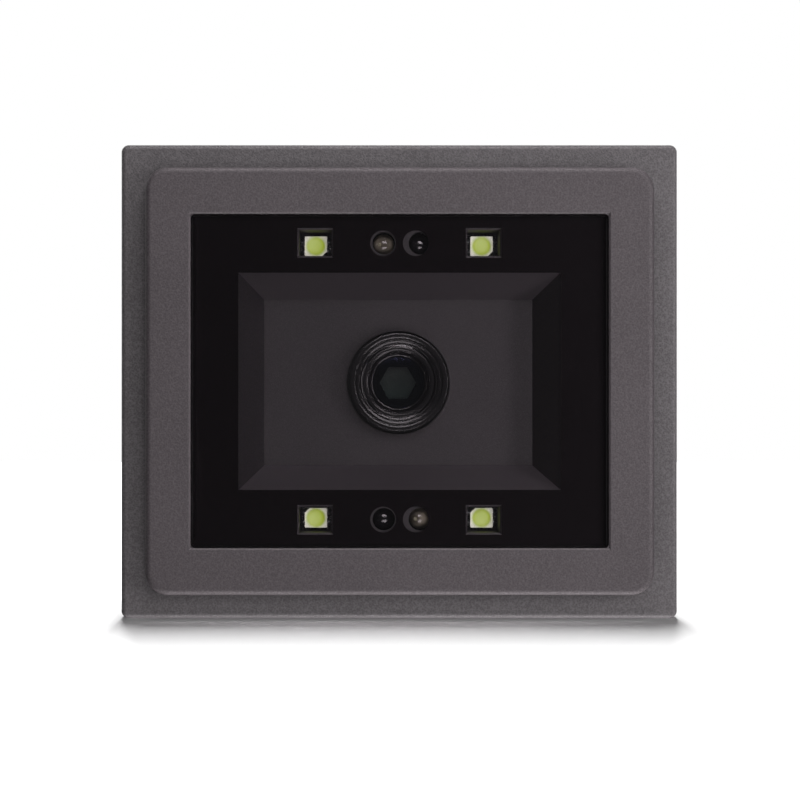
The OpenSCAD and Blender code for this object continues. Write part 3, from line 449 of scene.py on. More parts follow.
# %% Clear and smoked pieces
def clear_plate(name, tint, mirror, ior, gloss, speck_mm):
    """A thin clear sheet or lens. Each of its two sides passes the tint once."""
    material, tree, output = start_finish(name)
    place = add_node(tree, "ShaderNodeTexCoord").outputs["Object"]
    dust = add_node(tree, "ShaderNodeTexNoise", {"Scale": 1 / (speck_mm * MM), "Detail": 5.0},
                    {"Vector": place})
    smear = add_node(tree, "ShaderNodeMapRange",
                     {"From Min": 0.35, "From Max": 0.75, "To Min": gloss[0], "To Max": gloss[1]},
                     {"Value": dust.outputs["Fac"]})
    through = add_node(tree, "ShaderNodeBsdfTransparent", {"Color": linear(tint)})
    shine = add_node(tree, "ShaderNodeBsdfAnisotropic", {"Color": linear(mirror)},
                     {"Roughness": smear.outputs[0]})
    slant = add_node(tree, "ShaderNodeLayerWeight", {"Blend": 0.5})
    steep = add_node(tree, "ShaderNodeMath", {1: 5.0}, {0: slant.outputs["Facing"]}, operation="POWER")
    seen = add_node(tree, "ShaderNodeMapRange", {"To Min": ((ior - 1) / (ior + 1)) ** 2},
                    {"Value": steep.outputs[0]})
    exact = add_node(tree, "ShaderNodeFresnel", {"IOR": ior})
    rays = add_node(tree, "ShaderNodeLightPath").outputs
    lighting = add_node(tree, "ShaderNodeMath", {}, {
        0: rays["Is Shadow Ray"], 1: rays["Is Diffuse Ray"]}, operation="MAXIMUM")
    share = add_node(tree, "ShaderNodeMix", {}, {
        0: lighting.outputs[0], 2: seen.outputs[0], 3: exact.outputs[0]})
    both = add_node(tree, "ShaderNodeMixShader", {}, {
        0: share.outputs[0], 1: through.outputs[0], 2: shine.outputs[0]})
    tree.links.new(both.outputs[0], output.inputs[0])
    return material


clear_pieces = {
    # A trace of smoke: it takes a little light both ways and mirrors a few hundredths
    "window_pane": clear_plate("smoked_cast_acrylic", "#fcfbfc", "#ffffff", 1.49, (0.02, 0.05), 3.0),
    # The lenses' coating mirrors a faint violet
    "lens_glass": clear_plate("coated_optical_glass", "#d6dcd8", "#8288b8", 1.45, (0.08, 0.1), 4.0),
    # The filter takes the red out of what passes, so it looks cyan and mirrors pink
    "filter_glass": clear_plate("infrared_cut_filter", "#a9d0cf", "#ff9fb0", 1.6, (0.01, 0.02), 4.0),
    # The round lamps' epoxy yellows a little and shines like wet glass
    "clear_epoxy": clear_plate("clear_cast_epoxy", "#efece4", "#ffffff", 1.7, (0.1, 0.13), 0.8),
}
finishes.update(clear_pieces)
print("clear finishes:", len(clear_pieces))

# %% [markdown]
# ## Circuit boards, cables and light sources
#
# A board is glass cloth in epoxy under a coat of coloured solder mask. Copper tracks lift the
# mask a little, and the cloth's weave shows through as a fine grid: a wave texture along each
# of the two directions gives the weave, and a chequer of soft blocks stands for the
# copper. The light board is black, so that it doesn't glow beside the lamps.

# %% Boards and flat cables
def laminate(name, mask_colour, copper_colour, weave_mm=0.5):
    """Solder mask over copper tracks on woven glass."""
    material, tree, output = start_finish(name)
    place = add_node(tree, "ShaderNodeTexCoord").outputs["Object"]
    weave = [add_node(tree, "ShaderNodeTexWave", {"Scale": 0.314 / (weave_mm * MM)},
                      {"Vector": place}, bands_direction=way) for way in ("X", "Z")]
    cloth = add_node(tree, "ShaderNodeMath", {}, {
        0: weave[0].outputs["Fac"], 1: weave[1].outputs["Fac"]}, operation="MULTIPLY")
    tracks = add_node(tree, "ShaderNodeTexBrick", {
        "Scale": 260.0, "Mortar Size": 0.012, "Mortar Smooth": 0.1, "Color1": linear("#ffffff"),
        "Color2": linear("#d0d0d0"), "Mortar": linear("#000000")}, {"Vector": add_node(
            tree, "ShaderNodeMapping", {"Rotation": (math.pi / 2, 0, 0)},
            {"Vector": place}).outputs[0]})
    colour = add_node(tree, "ShaderNodeMix", {6: linear(copper_colour), 7: linear(mask_colour)},
                      {0: tracks.outputs["Color"]}, data_type="RGBA")
    height = add_node(tree, "ShaderNodeMath", {1: 0.25}, {
        0: cloth.outputs[0], 2: tracks.outputs["Fac"]}, operation="MULTIPLY_ADD")
    bump = add_node(tree, "ShaderNodeBump", {"Strength": 0.5, "Distance": 0.02 * MM},
                    {"Height": height.outputs[0]})
    rough = add_node(tree, "ShaderNodeMapRange", {"To Min": 0.25, "To Max": 0.4},
                     {"Value": cloth.outputs[0]})
    shader = add_node(tree, "ShaderNodeBsdfPrincipled", {}, {
        "Base Color": colour.outputs[2], "Roughness": rough.outputs[0], "Normal": bump.outputs[0]})
    tree.links.new(shader.outputs[0], output.inputs[0])
    return material


finishes.update({
    # Black mask with barely visible tracks
    "black_laminate": laminate("black_solder_mask_board", "#161517", "#242225"),
    # Green mask, lighter and yellower where there is copper under it
    "green_laminate": laminate("green_solder_mask_board", "#124a2c", "#1d6b40"),
    # Amber film over flat copper strips
    "flex_film": laminate("polyimide_flat_cable", "#c07a22", "#a8621a", 1.0),
    # White nylon, loaded with titanium dioxide to throw the light forwards
    "lamp_package": moulded_plastic(
        "white_reflector_nylon", "#e9ead6", "#dcddc8", 0.15, 0.002, (0.5, 0.38)),
    # Silicone with phosphor grains, which show their own yellow-green while the lamp is off
    "lamp_phosphor": moulded_plastic(
        "phosphor_silicone", "#b6cd1a", "#a9c012", 0.06, 0.003, (0.4, 0.3), 1.41),
    # Epoxy dyed to pass infrared only, so the sensors' domes look like black glass
    "dark_epoxy": moulded_plastic(
        "infrared_pass_epoxy", "#120f14", "#0c0a0d", 1.5, 0.0, (0.12, 0.1), 1.7),
})

for row in frame["record"]["subparts"]:
    node = frame["nodes"][row["node"]]
    node.material_slots[0].material = finishes.get(row["material_slot"], finishes["chip_plastic"])
print("painted nodes:", len(frame["nodes"]))

# %% [markdown]
# ## Two ways to make a piece
#
# Most of the fine pieces are either turned or repeated. A turned one, such as the lens barrel, is
# an outline swept around an axis. Real turned edges are never sharp: each has
# a small radius, and that radius is what catches the light and draws a thin bright arc.
# So one function rounds the corners of an outline, and another one spins it.

# %% Turned pieces
def rounded(points, radius, steps=3):
    """The closed outline with an arc in place of each corner, smaller where a side is short."""
    result = []
    for i, here in enumerate(points):
        before, after = points[i - 1], points[(i + 1) % len(points)]
        into, out = Vector(before) - Vector(here), Vector(after) - Vector(here)
        half = into.angle(out) / 2
        cut = min(radius / math.tan(half), 0.45 * into.length, 0.45 * out.length)
        if here[0] == 0 or half > math.radians(85):
            result.append(here)
            continue
        start, end = Vector(here) + into.normalized() * cut, Vector(here) + out.normalized() * cut
        for k in range(steps + 1):
            t = k / steps
            result.append(tuple(start * (1 - t) ** 2 + Vector(here) * 2 * t * (1 - t) + end * t ** 2))
    return result


def keep_mesh(build, name, finish, smooth_up_to=40):
    """Turns a bmesh into an object with outward faces, smooth over gentle angles."""
    bmesh.ops.remove_doubles(build, verts=build.verts, dist=0.0005 * MM)
    bmesh.ops.recalc_face_normals(build, faces=build.faces)
    mesh = bpy.data.meshes.new(name)
    build.to_mesh(mesh)
    build.free()
    mesh.shade_smooth()
    mesh.set_sharp_from_angle(angle=math.radians(smooth_up_to))
    mesh.materials.append(finish)
    piece = bpy.data.objects.new(name, mesh)
    bpy.context.scene.collection.objects.link(piece)
    return piece


def turned_piece(name, outlines, finish, centres=((0, 0),), steps=96):
    """Spins closed outlines of (radius, depth) in mm around axes along Y. A centre is (x, z) in mm,
    measured from the optical axis."""
    build = bmesh.new()
    for x, z in centres:
        centre = Vector((x * MM, 0, axis_z + z * MM))
        for outline in outlines:
            rim = [build.verts.new(centre + Vector((r * MM, y * MM, 0))) for r, y in outline]
            pairs = zip(rim, rim[1:] + rim[:1])
            line = [build.edges.new(pair) for pair in pairs
                    if max(abs(v.co.x - centre.x) for v in pair) > 0]
            bmesh.ops.spin(build, geom=rim + line, cent=centre, axis=(0, 1, 0),
                           angle=2 * math.pi, steps=steps, use_merge=True)
    return keep_mesh(build, name, finish)


def ends(node):
    """Front and back of a CAD node in mm."""
    low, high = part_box(node)
    return low.y / MM, high.y / MM


print("a square's corners become", len(rounded([(1, 0), (2, 0), (2, 1), (1, 1)], 0.1)), "points")

# %% [markdown]
# A repeated piece is built by a Geometry Nodes tree: one instance is shaped from named
# inputs, set on its places, and made real. The tree is a recipe, so a change to one
# number remakes every copy. When it has run, only the plain mesh is kept.

# %% Pieces grown by Geometry Nodes
def grow(name, places, recipe, sizes, finish, smooth_up_to=40):
    """Runs recipe(tree, points, sizes as sockets) once and keeps the mesh that it gives. The places
    are (x, y, z) in mm from the optical axis; they are the bare vertices that the tree starts from."""
    tree = bpy.data.node_groups.new(name, "GeometryNodeTree")
    tree.interface.new_socket("Places", in_out="INPUT", socket_type="NodeSocketGeometry")
    kinds = {int: "NodeSocketInt", float: "NodeSocketFloat", tuple: "NodeSocketVector"}
    sockets = {label: tree.interface.new_socket(label, in_out="INPUT", socket_type=kinds[type(value)])
               for label, value in sizes.items()}
    tree.interface.new_socket("Pieces", in_out="OUTPUT", socket_type="NodeSocketGeometry")
    source = add_node(tree, "NodeGroupInput").outputs
    points = add_node(tree, "GeometryNodeMeshToPoints", {}, {0: source["Places"]})
    shape = recipe(tree, points.outputs[0], {label: source[label] for label in sizes})
    real = add_node(tree, "GeometryNodeRealizeInstances", {}, {0: shape})
    coated = add_node(tree, "GeometryNodeSetMaterial", {"Material": finish}, {0: real.outputs[0]})
    add_node(tree, "NodeGroupOutput", {}, {0: coated.outputs[0]})

    marks = bpy.data.meshes.new(name)
    marks.from_pydata([(x * MM, y * MM, axis_z + z * MM) for x, y, z in places], [], [])
    holder = bpy.data.objects.new(name, marks)
    bpy.context.scene.collection.objects.link(holder)
    modifier = holder.modifiers.new(name, "NODES")
    modifier.node_group = tree
    for label, socket in sockets.items():
        modifier[socket.identifier] = sizes[label]
    plain = bpy.data.meshes.new_from_object(
        holder.evaluated_get(bpy.context.evaluated_depsgraph_get()))
    bpy.data.objects.remove(holder)
    build = bmesh.new()
    build.from_mesh(plain)
    bpy.data.meshes.remove(plain)
    return keep_mesh(build, name, finish, smooth_up_to)


def settle(piece, slot, *nodes):
    """Hands a finished piece to the frame in place of its CAD nodes."""
    if nodes:
        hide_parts(*nodes)
    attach(piece, "root")
    print(piece.name, "has", len(piece.data.polygons), "faces")


print("an input for each kind of size: whole number, length, vector")

# %% [markdown]
# ## The lens
#
# The lens is a black anodised barrel with a stepped rim. Inside the rim, a ring holds the
# front glass, and a six-bladed stop sits behind it. In the photograph the barrel is nearly
# black, and only its rounded edges show, as thin arcs above and below, where they face
# the two softboxes. The brightest arc is a narrow band that slopes into the mouth by about 10
# degrees, half the angle to the boxes. Behind it are fine grooves, which kill stray light,
# and the barrel's other end has the thread that sets the focus.

# %% Lens barrel
front, back = ends("lens_barrel")
head_back, seat, stop_seat, mouth_floor = front + 4.7, front + 3.6, front + 6.5, front + 1.3
mouth = [(6.5, front), (6.3, front + 0.035), (6.26, front + 0.6), (6.02, front + 0.6),
         (6.0, front + 0.3), (5.64, front + 0.365), (5.6, front + 0.8), (5.5, front + 0.8),
         (5.48, front + 0.6), (5.36, front + 0.62)]
groove_count = 5
groove_pitch = (mouth_floor - front - 0.7) / groove_count
for i in range(groove_count):
    groove_y = front + 0.7 + i * groove_pitch
    mouth += [(5.35 - 0.03 * i, groove_y), (5.25 - 0.03 * i, groove_y + groove_pitch / 2)]
bore = [(5.17, mouth_floor), (5.17, seat), (4.4, seat), (4.4, stop_seat), (3.6, stop_seat),
        (3.6, back - 3.2), (4.6, back - 3.2), (4.6, back)]
thread_pitch, thread_depth = 0.5, 0.3
thread_turns = int((back - head_back - 0.8) / thread_pitch)
thread = []
for i in range(thread_turns):
    crest_y = back - 0.3 - i * thread_pitch
    thread += [(6.0, crest_y), (6.0 - thread_depth, crest_y - thread_pitch / 2)]
head = [(5.7, head_back), (7.0, head_back), (7.0, front)]
barrel = turned_piece("anodised_barrel", [rounded(mouth + bore + [(5.7, back)] + thread + head, 0.035)],
                      finishes["black_aluminium"])
settle(barrel, "black_aluminium", "lens_barrel")

ring_front, ring_back = ends("lens_retaining_ring")
retaining_ring = turned_piece("front_lens_ring", [rounded([
    (3.95, ring_back), (3.78, ring_front + 0.62), (3.95, ring_front + 0.59),
    (4.45, ring_front + 0.078), (4.75, ring_front), (5.12, ring_front), (5.12, ring_back)], 0.03)],
    finishes["black_aluminium"])
settle(retaining_ring, "black_aluminium", "lens_retaining_ring")

# %% [markdown]
# The front glass is a shallow dome. Its curve is flat enough for the boxes' mirror images to fall
# near the ring, where the photograph shows two faint arcs, and not over the stop. Through the
# six-sided stop a real lens isn't black but dim grey, warm above and teal below: light comes
# back from the glass behind. Here that is a painted reflection: a matt surface close behind the
# stop, whose colour runs from teal below to warm above.

# %% Lens glass
glass_back = ends("front_lens")[1]
edge_y, clear_radius, glass_curve = glass_back - 1.4, 3.9, 45.0
glass_half = math.asin(clear_radius / glass_curve)
bulge = [(glass_curve * math.sin(t), edge_y - glass_curve * (math.cos(t) - math.cos(glass_half)))
         for t in (glass_half * i / 12 for i in range(13))]
front_glass = turned_piece("front_glass", [bulge + [
    (clear_radius + 0.1, edge_y), (5.12, edge_y), (5.12, glass_back), (0, glass_back)]],
    finishes["lens_glass"])
settle(front_glass, "lens_glass", "front_lens")

# A painted reflection: a matt surface behind the stop, teal below and warm above, in place of the light that
# the glass behind sends back.
material, tree, output = start_finish("painted_lens_reflection")
spot = add_node(tree, "ShaderNodeTexCoord").outputs["Object"]
height = add_node(tree, "ShaderNodeSeparateXYZ", {}, {0: spot}).outputs["Z"]
rise = add_node(tree, "ShaderNodeMapRange", {
    "From Min": axis_z - 2.4 * MM, "From Max": axis_z + 2.4 * MM}, {"Value": height})
reflection_paint = add_node(tree, "ShaderNodeMix", {6: linear("#747b7e"), 7: linear("#82797e")},
               {0: rise.outputs[0]}, data_type="RGBA")
shader = add_node(tree, "ShaderNodeBsdfPrincipled", {"Roughness": 0.22, "IOR": 1.2},
                  {"Base Color": reflection_paint.outputs[2]})
tree.links.new(shader.outputs[0], output.inputs[0])
stop_back = ends("aperture_stop")[1]
stop_painted_reflection = turned_piece("stop_painted_reflection", [[
    (0, stop_back + 0.15), (1.2, stop_back + 0.2), (2.4, stop_back + 0.35), (3.5, stop_back + 0.6),
    (3.5, stop_back + 1.6), (0, stop_back + 1.6)]], material)
settle(stop_painted_reflection, "lens_glass")

# %% [markdown]
# ## The white lamps
#
# Each is a common surface-mount package: a white nylon block with a round cup, a die under
# silicone that is full of yellow phosphor, and two tinned leads on each side, bent down
# to the board and soldered. One bevelled corner marks the cathode. The lower row is turned half
# a turn, so its bevel is at the upper left. The leads catch the light and show as small
# glints beside the package, which is why they are worth making.

# %% White lamps
lamp_front, board_y = ends("white_led_1")
lamp_low, lamp_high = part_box("white_led_1")
lamp_w, lamp_h = (lamp_high.x - lamp_low.x) / MM, (lamp_high.z - lamp_low.z) / MM
lamp_x = -(lamp_low.x + lamp_high.x) / 2 / MM
lamp_z = ((lamp_low.z + lamp_high.z) / 2 - axis_z) / MM
lamp_places = [(x, board_y, z) for z in (lamp_z, -lamp_z) for x in (-lamp_x, lamp_x)]


def facing_front(tree, points, shape, half_turn_below=True):
    """Copies the shape to the points, its Z towards -Y, half a turn round in the lower row."""
    place = add_node(tree, "GeometryNodeInputPosition").outputs[0]
    height = add_node(tree, "ShaderNodeSeparateXYZ", {}, {0: place}).outputs["Z"]
    below = add_node(tree, "FunctionNodeCompare", {"B": axis_z}, {"A": height}, data_type="FLOAT",
                     operation="LESS_THAN")
    turn = add_node(tree, "ShaderNodeMath", {1: math.pi if half_turn_below else 0.0},
                    {0: below.outputs[0]}, operation="MULTIPLY")
    angles = add_node(tree, "ShaderNodeCombineXYZ", {"X": math.pi / 2}, {"Y": turn.outputs[0]})
    way = add_node(tree, "FunctionNodeEulerToRotation", {}, {0: angles.outputs[0]})
    return add_node(tree, "GeometryNodeInstanceOnPoints", {}, {
        "Points": points, "Instance": shape, "Rotation": way.outputs[0]}).outputs[0]


def lamp_package(tree, points, size):
    """A block with round corners, less its cup and its corner bevel."""
    outline = add_node(tree, "GeometryNodeCurvePrimitiveQuadrilateral", {}, {
        "Width": size["Width"], "Height": size["Height"]})
    corners = add_node(tree, "GeometryNodeFilletCurve", {"Count": 5},
                       {"Curve": outline.outputs[0], "Radius": size["Corner"]}, mode="POLY")
    sheet = add_node(tree, "GeometryNodeFillCurve", {}, {0: corners.outputs[0]}, mode="NGONS")
    raised = add_node(tree, "GeometryNodeExtrudeMesh", {"Individual": False}, {
        "Mesh": sheet.outputs[0], "Offset Scale": size["Thickness"]})
    under = add_node(tree, "GeometryNodeFlipFaces", {}, {0: sheet.outputs[0]})
    block = add_node(tree, "GeometryNodeJoinGeometry", {}, {0: raised.outputs[0]})
    tree.links.new(under.outputs[0], block.inputs[0])
    solid = add_node(tree, "GeometryNodeMergeByDistance", {"Distance": 1e-7}, {0: block.outputs[0]})
    cone = add_node(tree, "GeometryNodeMeshCone", {"Vertices": 48}, {
        "Radius Top": size["Cup rim"], "Radius Bottom": size["Cup floor"], "Depth": size["Cup depth"]})
    cup = add_node(tree, "GeometryNodeTransform", {}, {0: cone.outputs[0], "Translation": size["Cup place"]})
    cube = add_node(tree, "GeometryNodeMeshCube", {}, {"Size": size["Bevel size"]})
    bevel = add_node(tree, "GeometryNodeTransform", {"Rotation": (0, 0, math.pi / 4)}, {
        0: cube.outputs[0], "Translation": size["Bevel place"]})
    cut = add_node(tree, "GeometryNodeMeshBoolean", {}, {
        "Mesh 1": solid.outputs[0], "Mesh 2": cup.outputs[0]}, operation="DIFFERENCE")
    tree.links.new(bevel.outputs[0], cut.inputs["Mesh 2"])
    return facing_front(tree, points, cut.outputs[0])


thickness = board_y - lamp_front
packages = grow("lamp_packages", lamp_places, lamp_package, {
    "Width": lamp_w * MM, "Height": lamp_h * MM, "Thickness": thickness * MM, "Corner": 0.12 * MM,
    "Cup rim": 1.31 * MM, "Cup floor": 1.12 * MM, "Cup depth": 0.4 * MM,
    "Cup place": (0.0, 0.0, (thickness - 0.38) * MM), "Bevel size": (0.95 * MM, 0.95 * MM, 0.7 * MM),
    "Bevel place": (lamp_w / 2 * MM, -lamp_h / 2 * MM, thickness * MM)}, finishes["lamp_package"])
settle(packages, "lamp_package", *(f"white_led_{i}" for i in (1, 2, 3, 4)))


def lamp_leads(tree, points, size):
    """Two bent leads on each side of a lamp, each in a small cone of solder."""
    path = add_node(tree, "GeometryNodeCurvePrimitiveBezierSegment", {"Resolution": 8}, {
        "Start": size["Root"], "Start Handle": size["Root handle"],
        "End Handle": size["Foot handle"], "End": size["Foot"]})
    strip = add_node(tree, "GeometryNodeCurvePrimitiveQuadrilateral", {}, {
        "Width": size["Lead thickness"], "Height": size["Lead width"]})
    lead = add_node(tree, "GeometryNodeCurveToMesh", {"Fill Caps": True}, {
        0: path.outputs[0], 1: strip.outputs[0]})
    cone = add_node(tree, "GeometryNodeMeshCone", {"Vertices": 20}, {
        "Radius Top": size["Solder top"], "Radius Bottom": size["Solder base"],
        "Depth": size["Solder height"]})
    solder = add_node(tree, "GeometryNodeTransform", {"Scale": (1.0, 1.6, 1.0)}, {
        0: cone.outputs[0], "Translation": size["Foot"]})
    both = add_node(tree, "GeometryNodeJoinGeometry", {}, {0: lead.outputs[0]})
    tree.links.new(solder.outputs[0], both.inputs[0])
    roots = add_node(tree, "GeometryNodeMeshGrid", {"Vertices X": 2, "Vertices Y": 2}, {
        "Size X": size["Across"], "Size Y": size["Apart"]})
    place = add_node(tree, "GeometryNodeInputPosition").outputs[0]
    side = add_node(tree, "ShaderNodeSeparateXYZ", {}, {0: place}).outputs["X"]
    left = add_node(tree, "FunctionNodeCompare", {"B": 0.0}, {"A": side}, data_type="FLOAT",
                    operation="LESS_THAN")
    turn = add_node(tree, "ShaderNodeMath", {1: math.pi}, {0: left.outputs[0]}, operation="MULTIPLY")
    angles = add_node(tree, "ShaderNodeCombineXYZ", {}, {"Z": turn.outputs[0]})
    way = add_node(tree, "FunctionNodeEulerToRotation", {}, {0: angles.outputs[0]})
    four = add_node(tree, "GeometryNodeInstanceOnPoints", {}, {
        "Points": roots.outputs[0], "Instance": both.outputs[0], "Rotation": way.outputs[0]})
    return facing_front(tree, points, four.outputs[0])


leads = grow("lamp_leads", lamp_places, lamp_leads, {
    "Root": (-0.1 * MM, 0.0, 0.95 * MM), "Root handle": (0.4 * MM, 0.0, 0.95 * MM),
    "Foot handle": (0.26 * MM, 0.0, 0.7 * MM), "Foot": (0.26 * MM, 0.0, 0.0),
    "Lead thickness": 0.15 * MM, "Lead width": 0.75 * MM, "Solder top": 0.12 * MM,
    "Solder base": 0.3 * MM, "Solder height": 0.42 * MM, "Across": lamp_w * MM,
    "Apart": 1.5 * MM}, tin)
settle(leads, "screw_steel")

# %% [markdown]
# The silicone is poured into the cup and creeps up its wall. Towards the rim the layer gets thin
# and the white cup shines through. So yellow-green fades to white across the rim, in both pieces
# alike: in the silicone this is its own colour, and in the nylon around the cup it is painted light,
# for the phosphor's light that spreads in the white plastic. Their shaders need the
# distance to the middle of the nearest lamp: absolute values fold the four lamps onto one.

# %% Phosphor in the cups
def off_lamp_axis(tree, x, z):
    """The distance from the nearest of four axes, which stand at plus or minus x and z in mm."""
    place = add_node(tree, "ShaderNodeTexCoord").outputs["Object"]
    from_axis = add_node(tree, "ShaderNodeVectorMath", {1: (0.0, 0.0, axis_z)}, {0: place},
                         operation="SUBTRACT")
    folded = add_node(tree, "ShaderNodeVectorMath", {}, {0: from_axis.outputs[0]}, operation="ABSOLUTE")
    flat = add_node(tree, "ShaderNodeVectorMath", {1: (1.0, 0.0, 1.0)}, {0: folded.outputs[0]},
                    operation="MULTIPLY")
    return add_node(tree, "ShaderNodeVectorMath", {1: (x * MM, 0.0, z * MM)}, {0: flat.outputs[0]},
                    operation="DISTANCE").outputs["Value"]


def share_of_white(tree):
    """0 in the middle of a lamp, 1 well outside its cup."""
    return add_node(tree, "ShaderNodeMapRange", {"From Min": 1.05 * MM, "From Max": 1.75 * MM}, {
        "Value": off_lamp_axis(tree, lamp_x, lamp_z)}, interpolation_type="SMOOTHSTEP").outputs[0]


tree = finishes["lamp_phosphor"].node_tree
tone_over(tree, share_of_white(tree), "#e9ead6")
tree = finishes["lamp_package"].node_tree
# Painted light: the nylon near each cup is tinted yellow-green, for the phosphor's light that spreads into
# it.
phosphor_glow_share = add_node(tree, "ShaderNodeMath", {0: 1.0}, {1: share_of_white(tree)}, operation="SUBTRACT")
tone_over(tree, phosphor_glow_share.outputs[0], "#b2c916")
phosphor_y = ends("led_phosphor_1")
spots = [(x, z) for x, _, z in lamp_places]
fill = turned_piece("lamp_phosphor", [[
    (0, phosphor_y[0] + 0.04), (0.5, phosphor_y[0] + 0.035), (0.9, phosphor_y[0] + 0.02),
    (1.1, phosphor_y[0] - 0.005), (1.28, phosphor_y[0] - 0.04), (1.13, phosphor_y[1]),
    (0, phosphor_y[1])]], finishes["lamp_phosphor"], spots, 48)
settle(fill, "lamp_phosphor", *(f"led_phosphor_{i}" for i in (1, 2, 3, 4)))
for piece in (packages, fill):
    lamps_lit.objects.link(piece)

# %% [markdown]
# ## The round lamps
#
# Two clear lamps throw the aiming pattern and two dark ones sense how near a thing is. All
# four are 3 mm epoxy casts whose front is a shallow lens: a full half ball would show the
# two softboxes near its middle, and the photograph shows them wider apart, so its
# radius of curvature is larger than the body's. Inside a clear one there is a milky
# filling, painted whiter towards its rim: painted light that evens out the shade of the hole
# around it. A little off the middle shows the cup that holds the chip.

# %% Round lamps
dome_front = ends("aiming_led_upper")[0]
lamp_middle = [(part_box(node)[0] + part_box(node)[1]) / 2 / MM for node in (
    "aiming_led_upper", "aiming_led_lower", "proximity_sensor_upper", "proximity_sensor_lower")]
dome_centres = [(m.x, m.z - axis_z / MM) for m in lamp_middle]
body_r, flange_r, dome_curve = 1.5, 1.85, 2.5
dome_half = math.asin(body_r / dome_curve)
cap = [(dome_curve * math.sin(t), dome_front + dome_curve * (1 - math.cos(t)))
       for t in (dome_half * i / 14 for i in range(15))]
body = cap + rounded([(body_r, cap[-1][1] + 0.1), (body_r, board_y - 1.0), (flange_r, board_y - 1.0),
                      (flange_r, board_y), (0.0, board_y)], 0.08)
clear_domes = turned_piece("aiming_lamp_domes", [body], finishes["clear_epoxy"], dome_centres[:2], 64)
settle(clear_domes, "clear_epoxy", "aiming_led_upper", "aiming_led_lower")
dark_domes = turned_piece("proximity_domes", [body], finishes["dark_epoxy"], dome_centres[2:], 64)
settle(dark_domes, "dark_epoxy", "proximity_sensor_upper", "proximity_sensor_lower")

milk = moulded_plastic("milky_epoxy", "#7e7a73", "#736f69", 0.5, 0.0, (0.6, 0.5), 1.3)
tree = milk.node_tree
# Painted light: whiter towards the rim, against the shade of the hole around the lamp.
rim_painted_light = add_node(tree, "ShaderNodeMapRange", {"From Min": 0.4 * MM, "From Max": 1.45 * MM}, {
    "Value": off_lamp_axis(tree, abs(dome_centres[0][0]), dome_centres[0][1])})
tone_over(tree, rim_painted_light.outputs[0], "#e4e1d9")
milk_gap = 0.05
milk_back = board_y - 1.1
milky = turned_piece("lamp_filling", [[(r * (1 - milk_gap / body_r), y + milk_gap) for r, y in cap] + [
    (body_r - milk_gap, milk_back), (0, milk_back)]],
    milk, dome_centres[:2], 48)
settle(milky, "clear_epoxy")
glow = moulded_plastic("chip_in_its_cup", "#b5b29a", "#8f8c74", 0.2, 0.0, (0.5, 0.4), 1.4)
chip_y = dome_front + milk_gap + 0.06
cups = turned_piece("lamp_chips", [rounded([
    (0.0, chip_y - 0.07), (0.16, chip_y - 0.07), (0.3, chip_y), (0.3, chip_y + 0.4),
    (0.0, chip_y + 0.4)], 0.05)], glow, [(x - 0.55, z) for x, z in dome_centres[:2]], 24)
settle(cups, "clear_epoxy")


def square_pins(tree, points, size):
    """One upright bar on each place."""
    bar = add_node(tree, "GeometryNodeMeshCube", {}, {"Size": size["Bar"]})
    return add_node(tree, "GeometryNodeInstanceOnPoints", {}, {
        "Points": points, "Instance": bar.outputs[0]}).outputs[0]


pin_front, pin_back = board_y - 0.1, ends("aiming_led_upper")[1]
pins = grow("lamp_pins", [(x + side * 1.27, (pin_front + pin_back) / 2, z)
                          for x, z in dome_centres for side in (-1, 1)], square_pins,
            {"Bar": (0.4 * MM, (pin_back - pin_front) * MM, 0.4 * MM)}, tin)
settle(pins, "screw_steel")

# %% [markdown]
# ## Screws
#
# Every screw has a stepped head, a drive cut into it and a shank with one ridge for each turn of
# its thread. Eighteen small ones with a cross drive hold the boards and the mask, and four
# long ones with a six-sided socket close the housing. One recipe makes both kinds: only
# the numbers and the shape of the drive differ. Its own axis is Z, with the seat at zero.

# %% Screws
def cross_drive(tree, size):
    """Two crossed bars."""
    bar = add_node(tree, "GeometryNodeMeshCube", {}, {"Size": size["Drive size"]}).outputs[0]
    return [add_node(tree, "GeometryNodeTransform", {"Rotation": (0, 0, turn)}, {
        0: bar, "Translation": size["Drive place"]}).outputs[0] for turn in (0, math.pi / 2)]


def socket_drive(tree, size):
    """A six-sided bar."""
    bar = add_node(tree, "GeometryNodeMeshCylinder", {"Vertices": 6, "Radius": 0.5, "Depth": 1.0})
    return [add_node(tree, "GeometryNodeTransform", {}, {
        0: bar.outputs[0], "Scale": size["Drive size"], "Translation": size["Drive place"]}).outputs[0]]


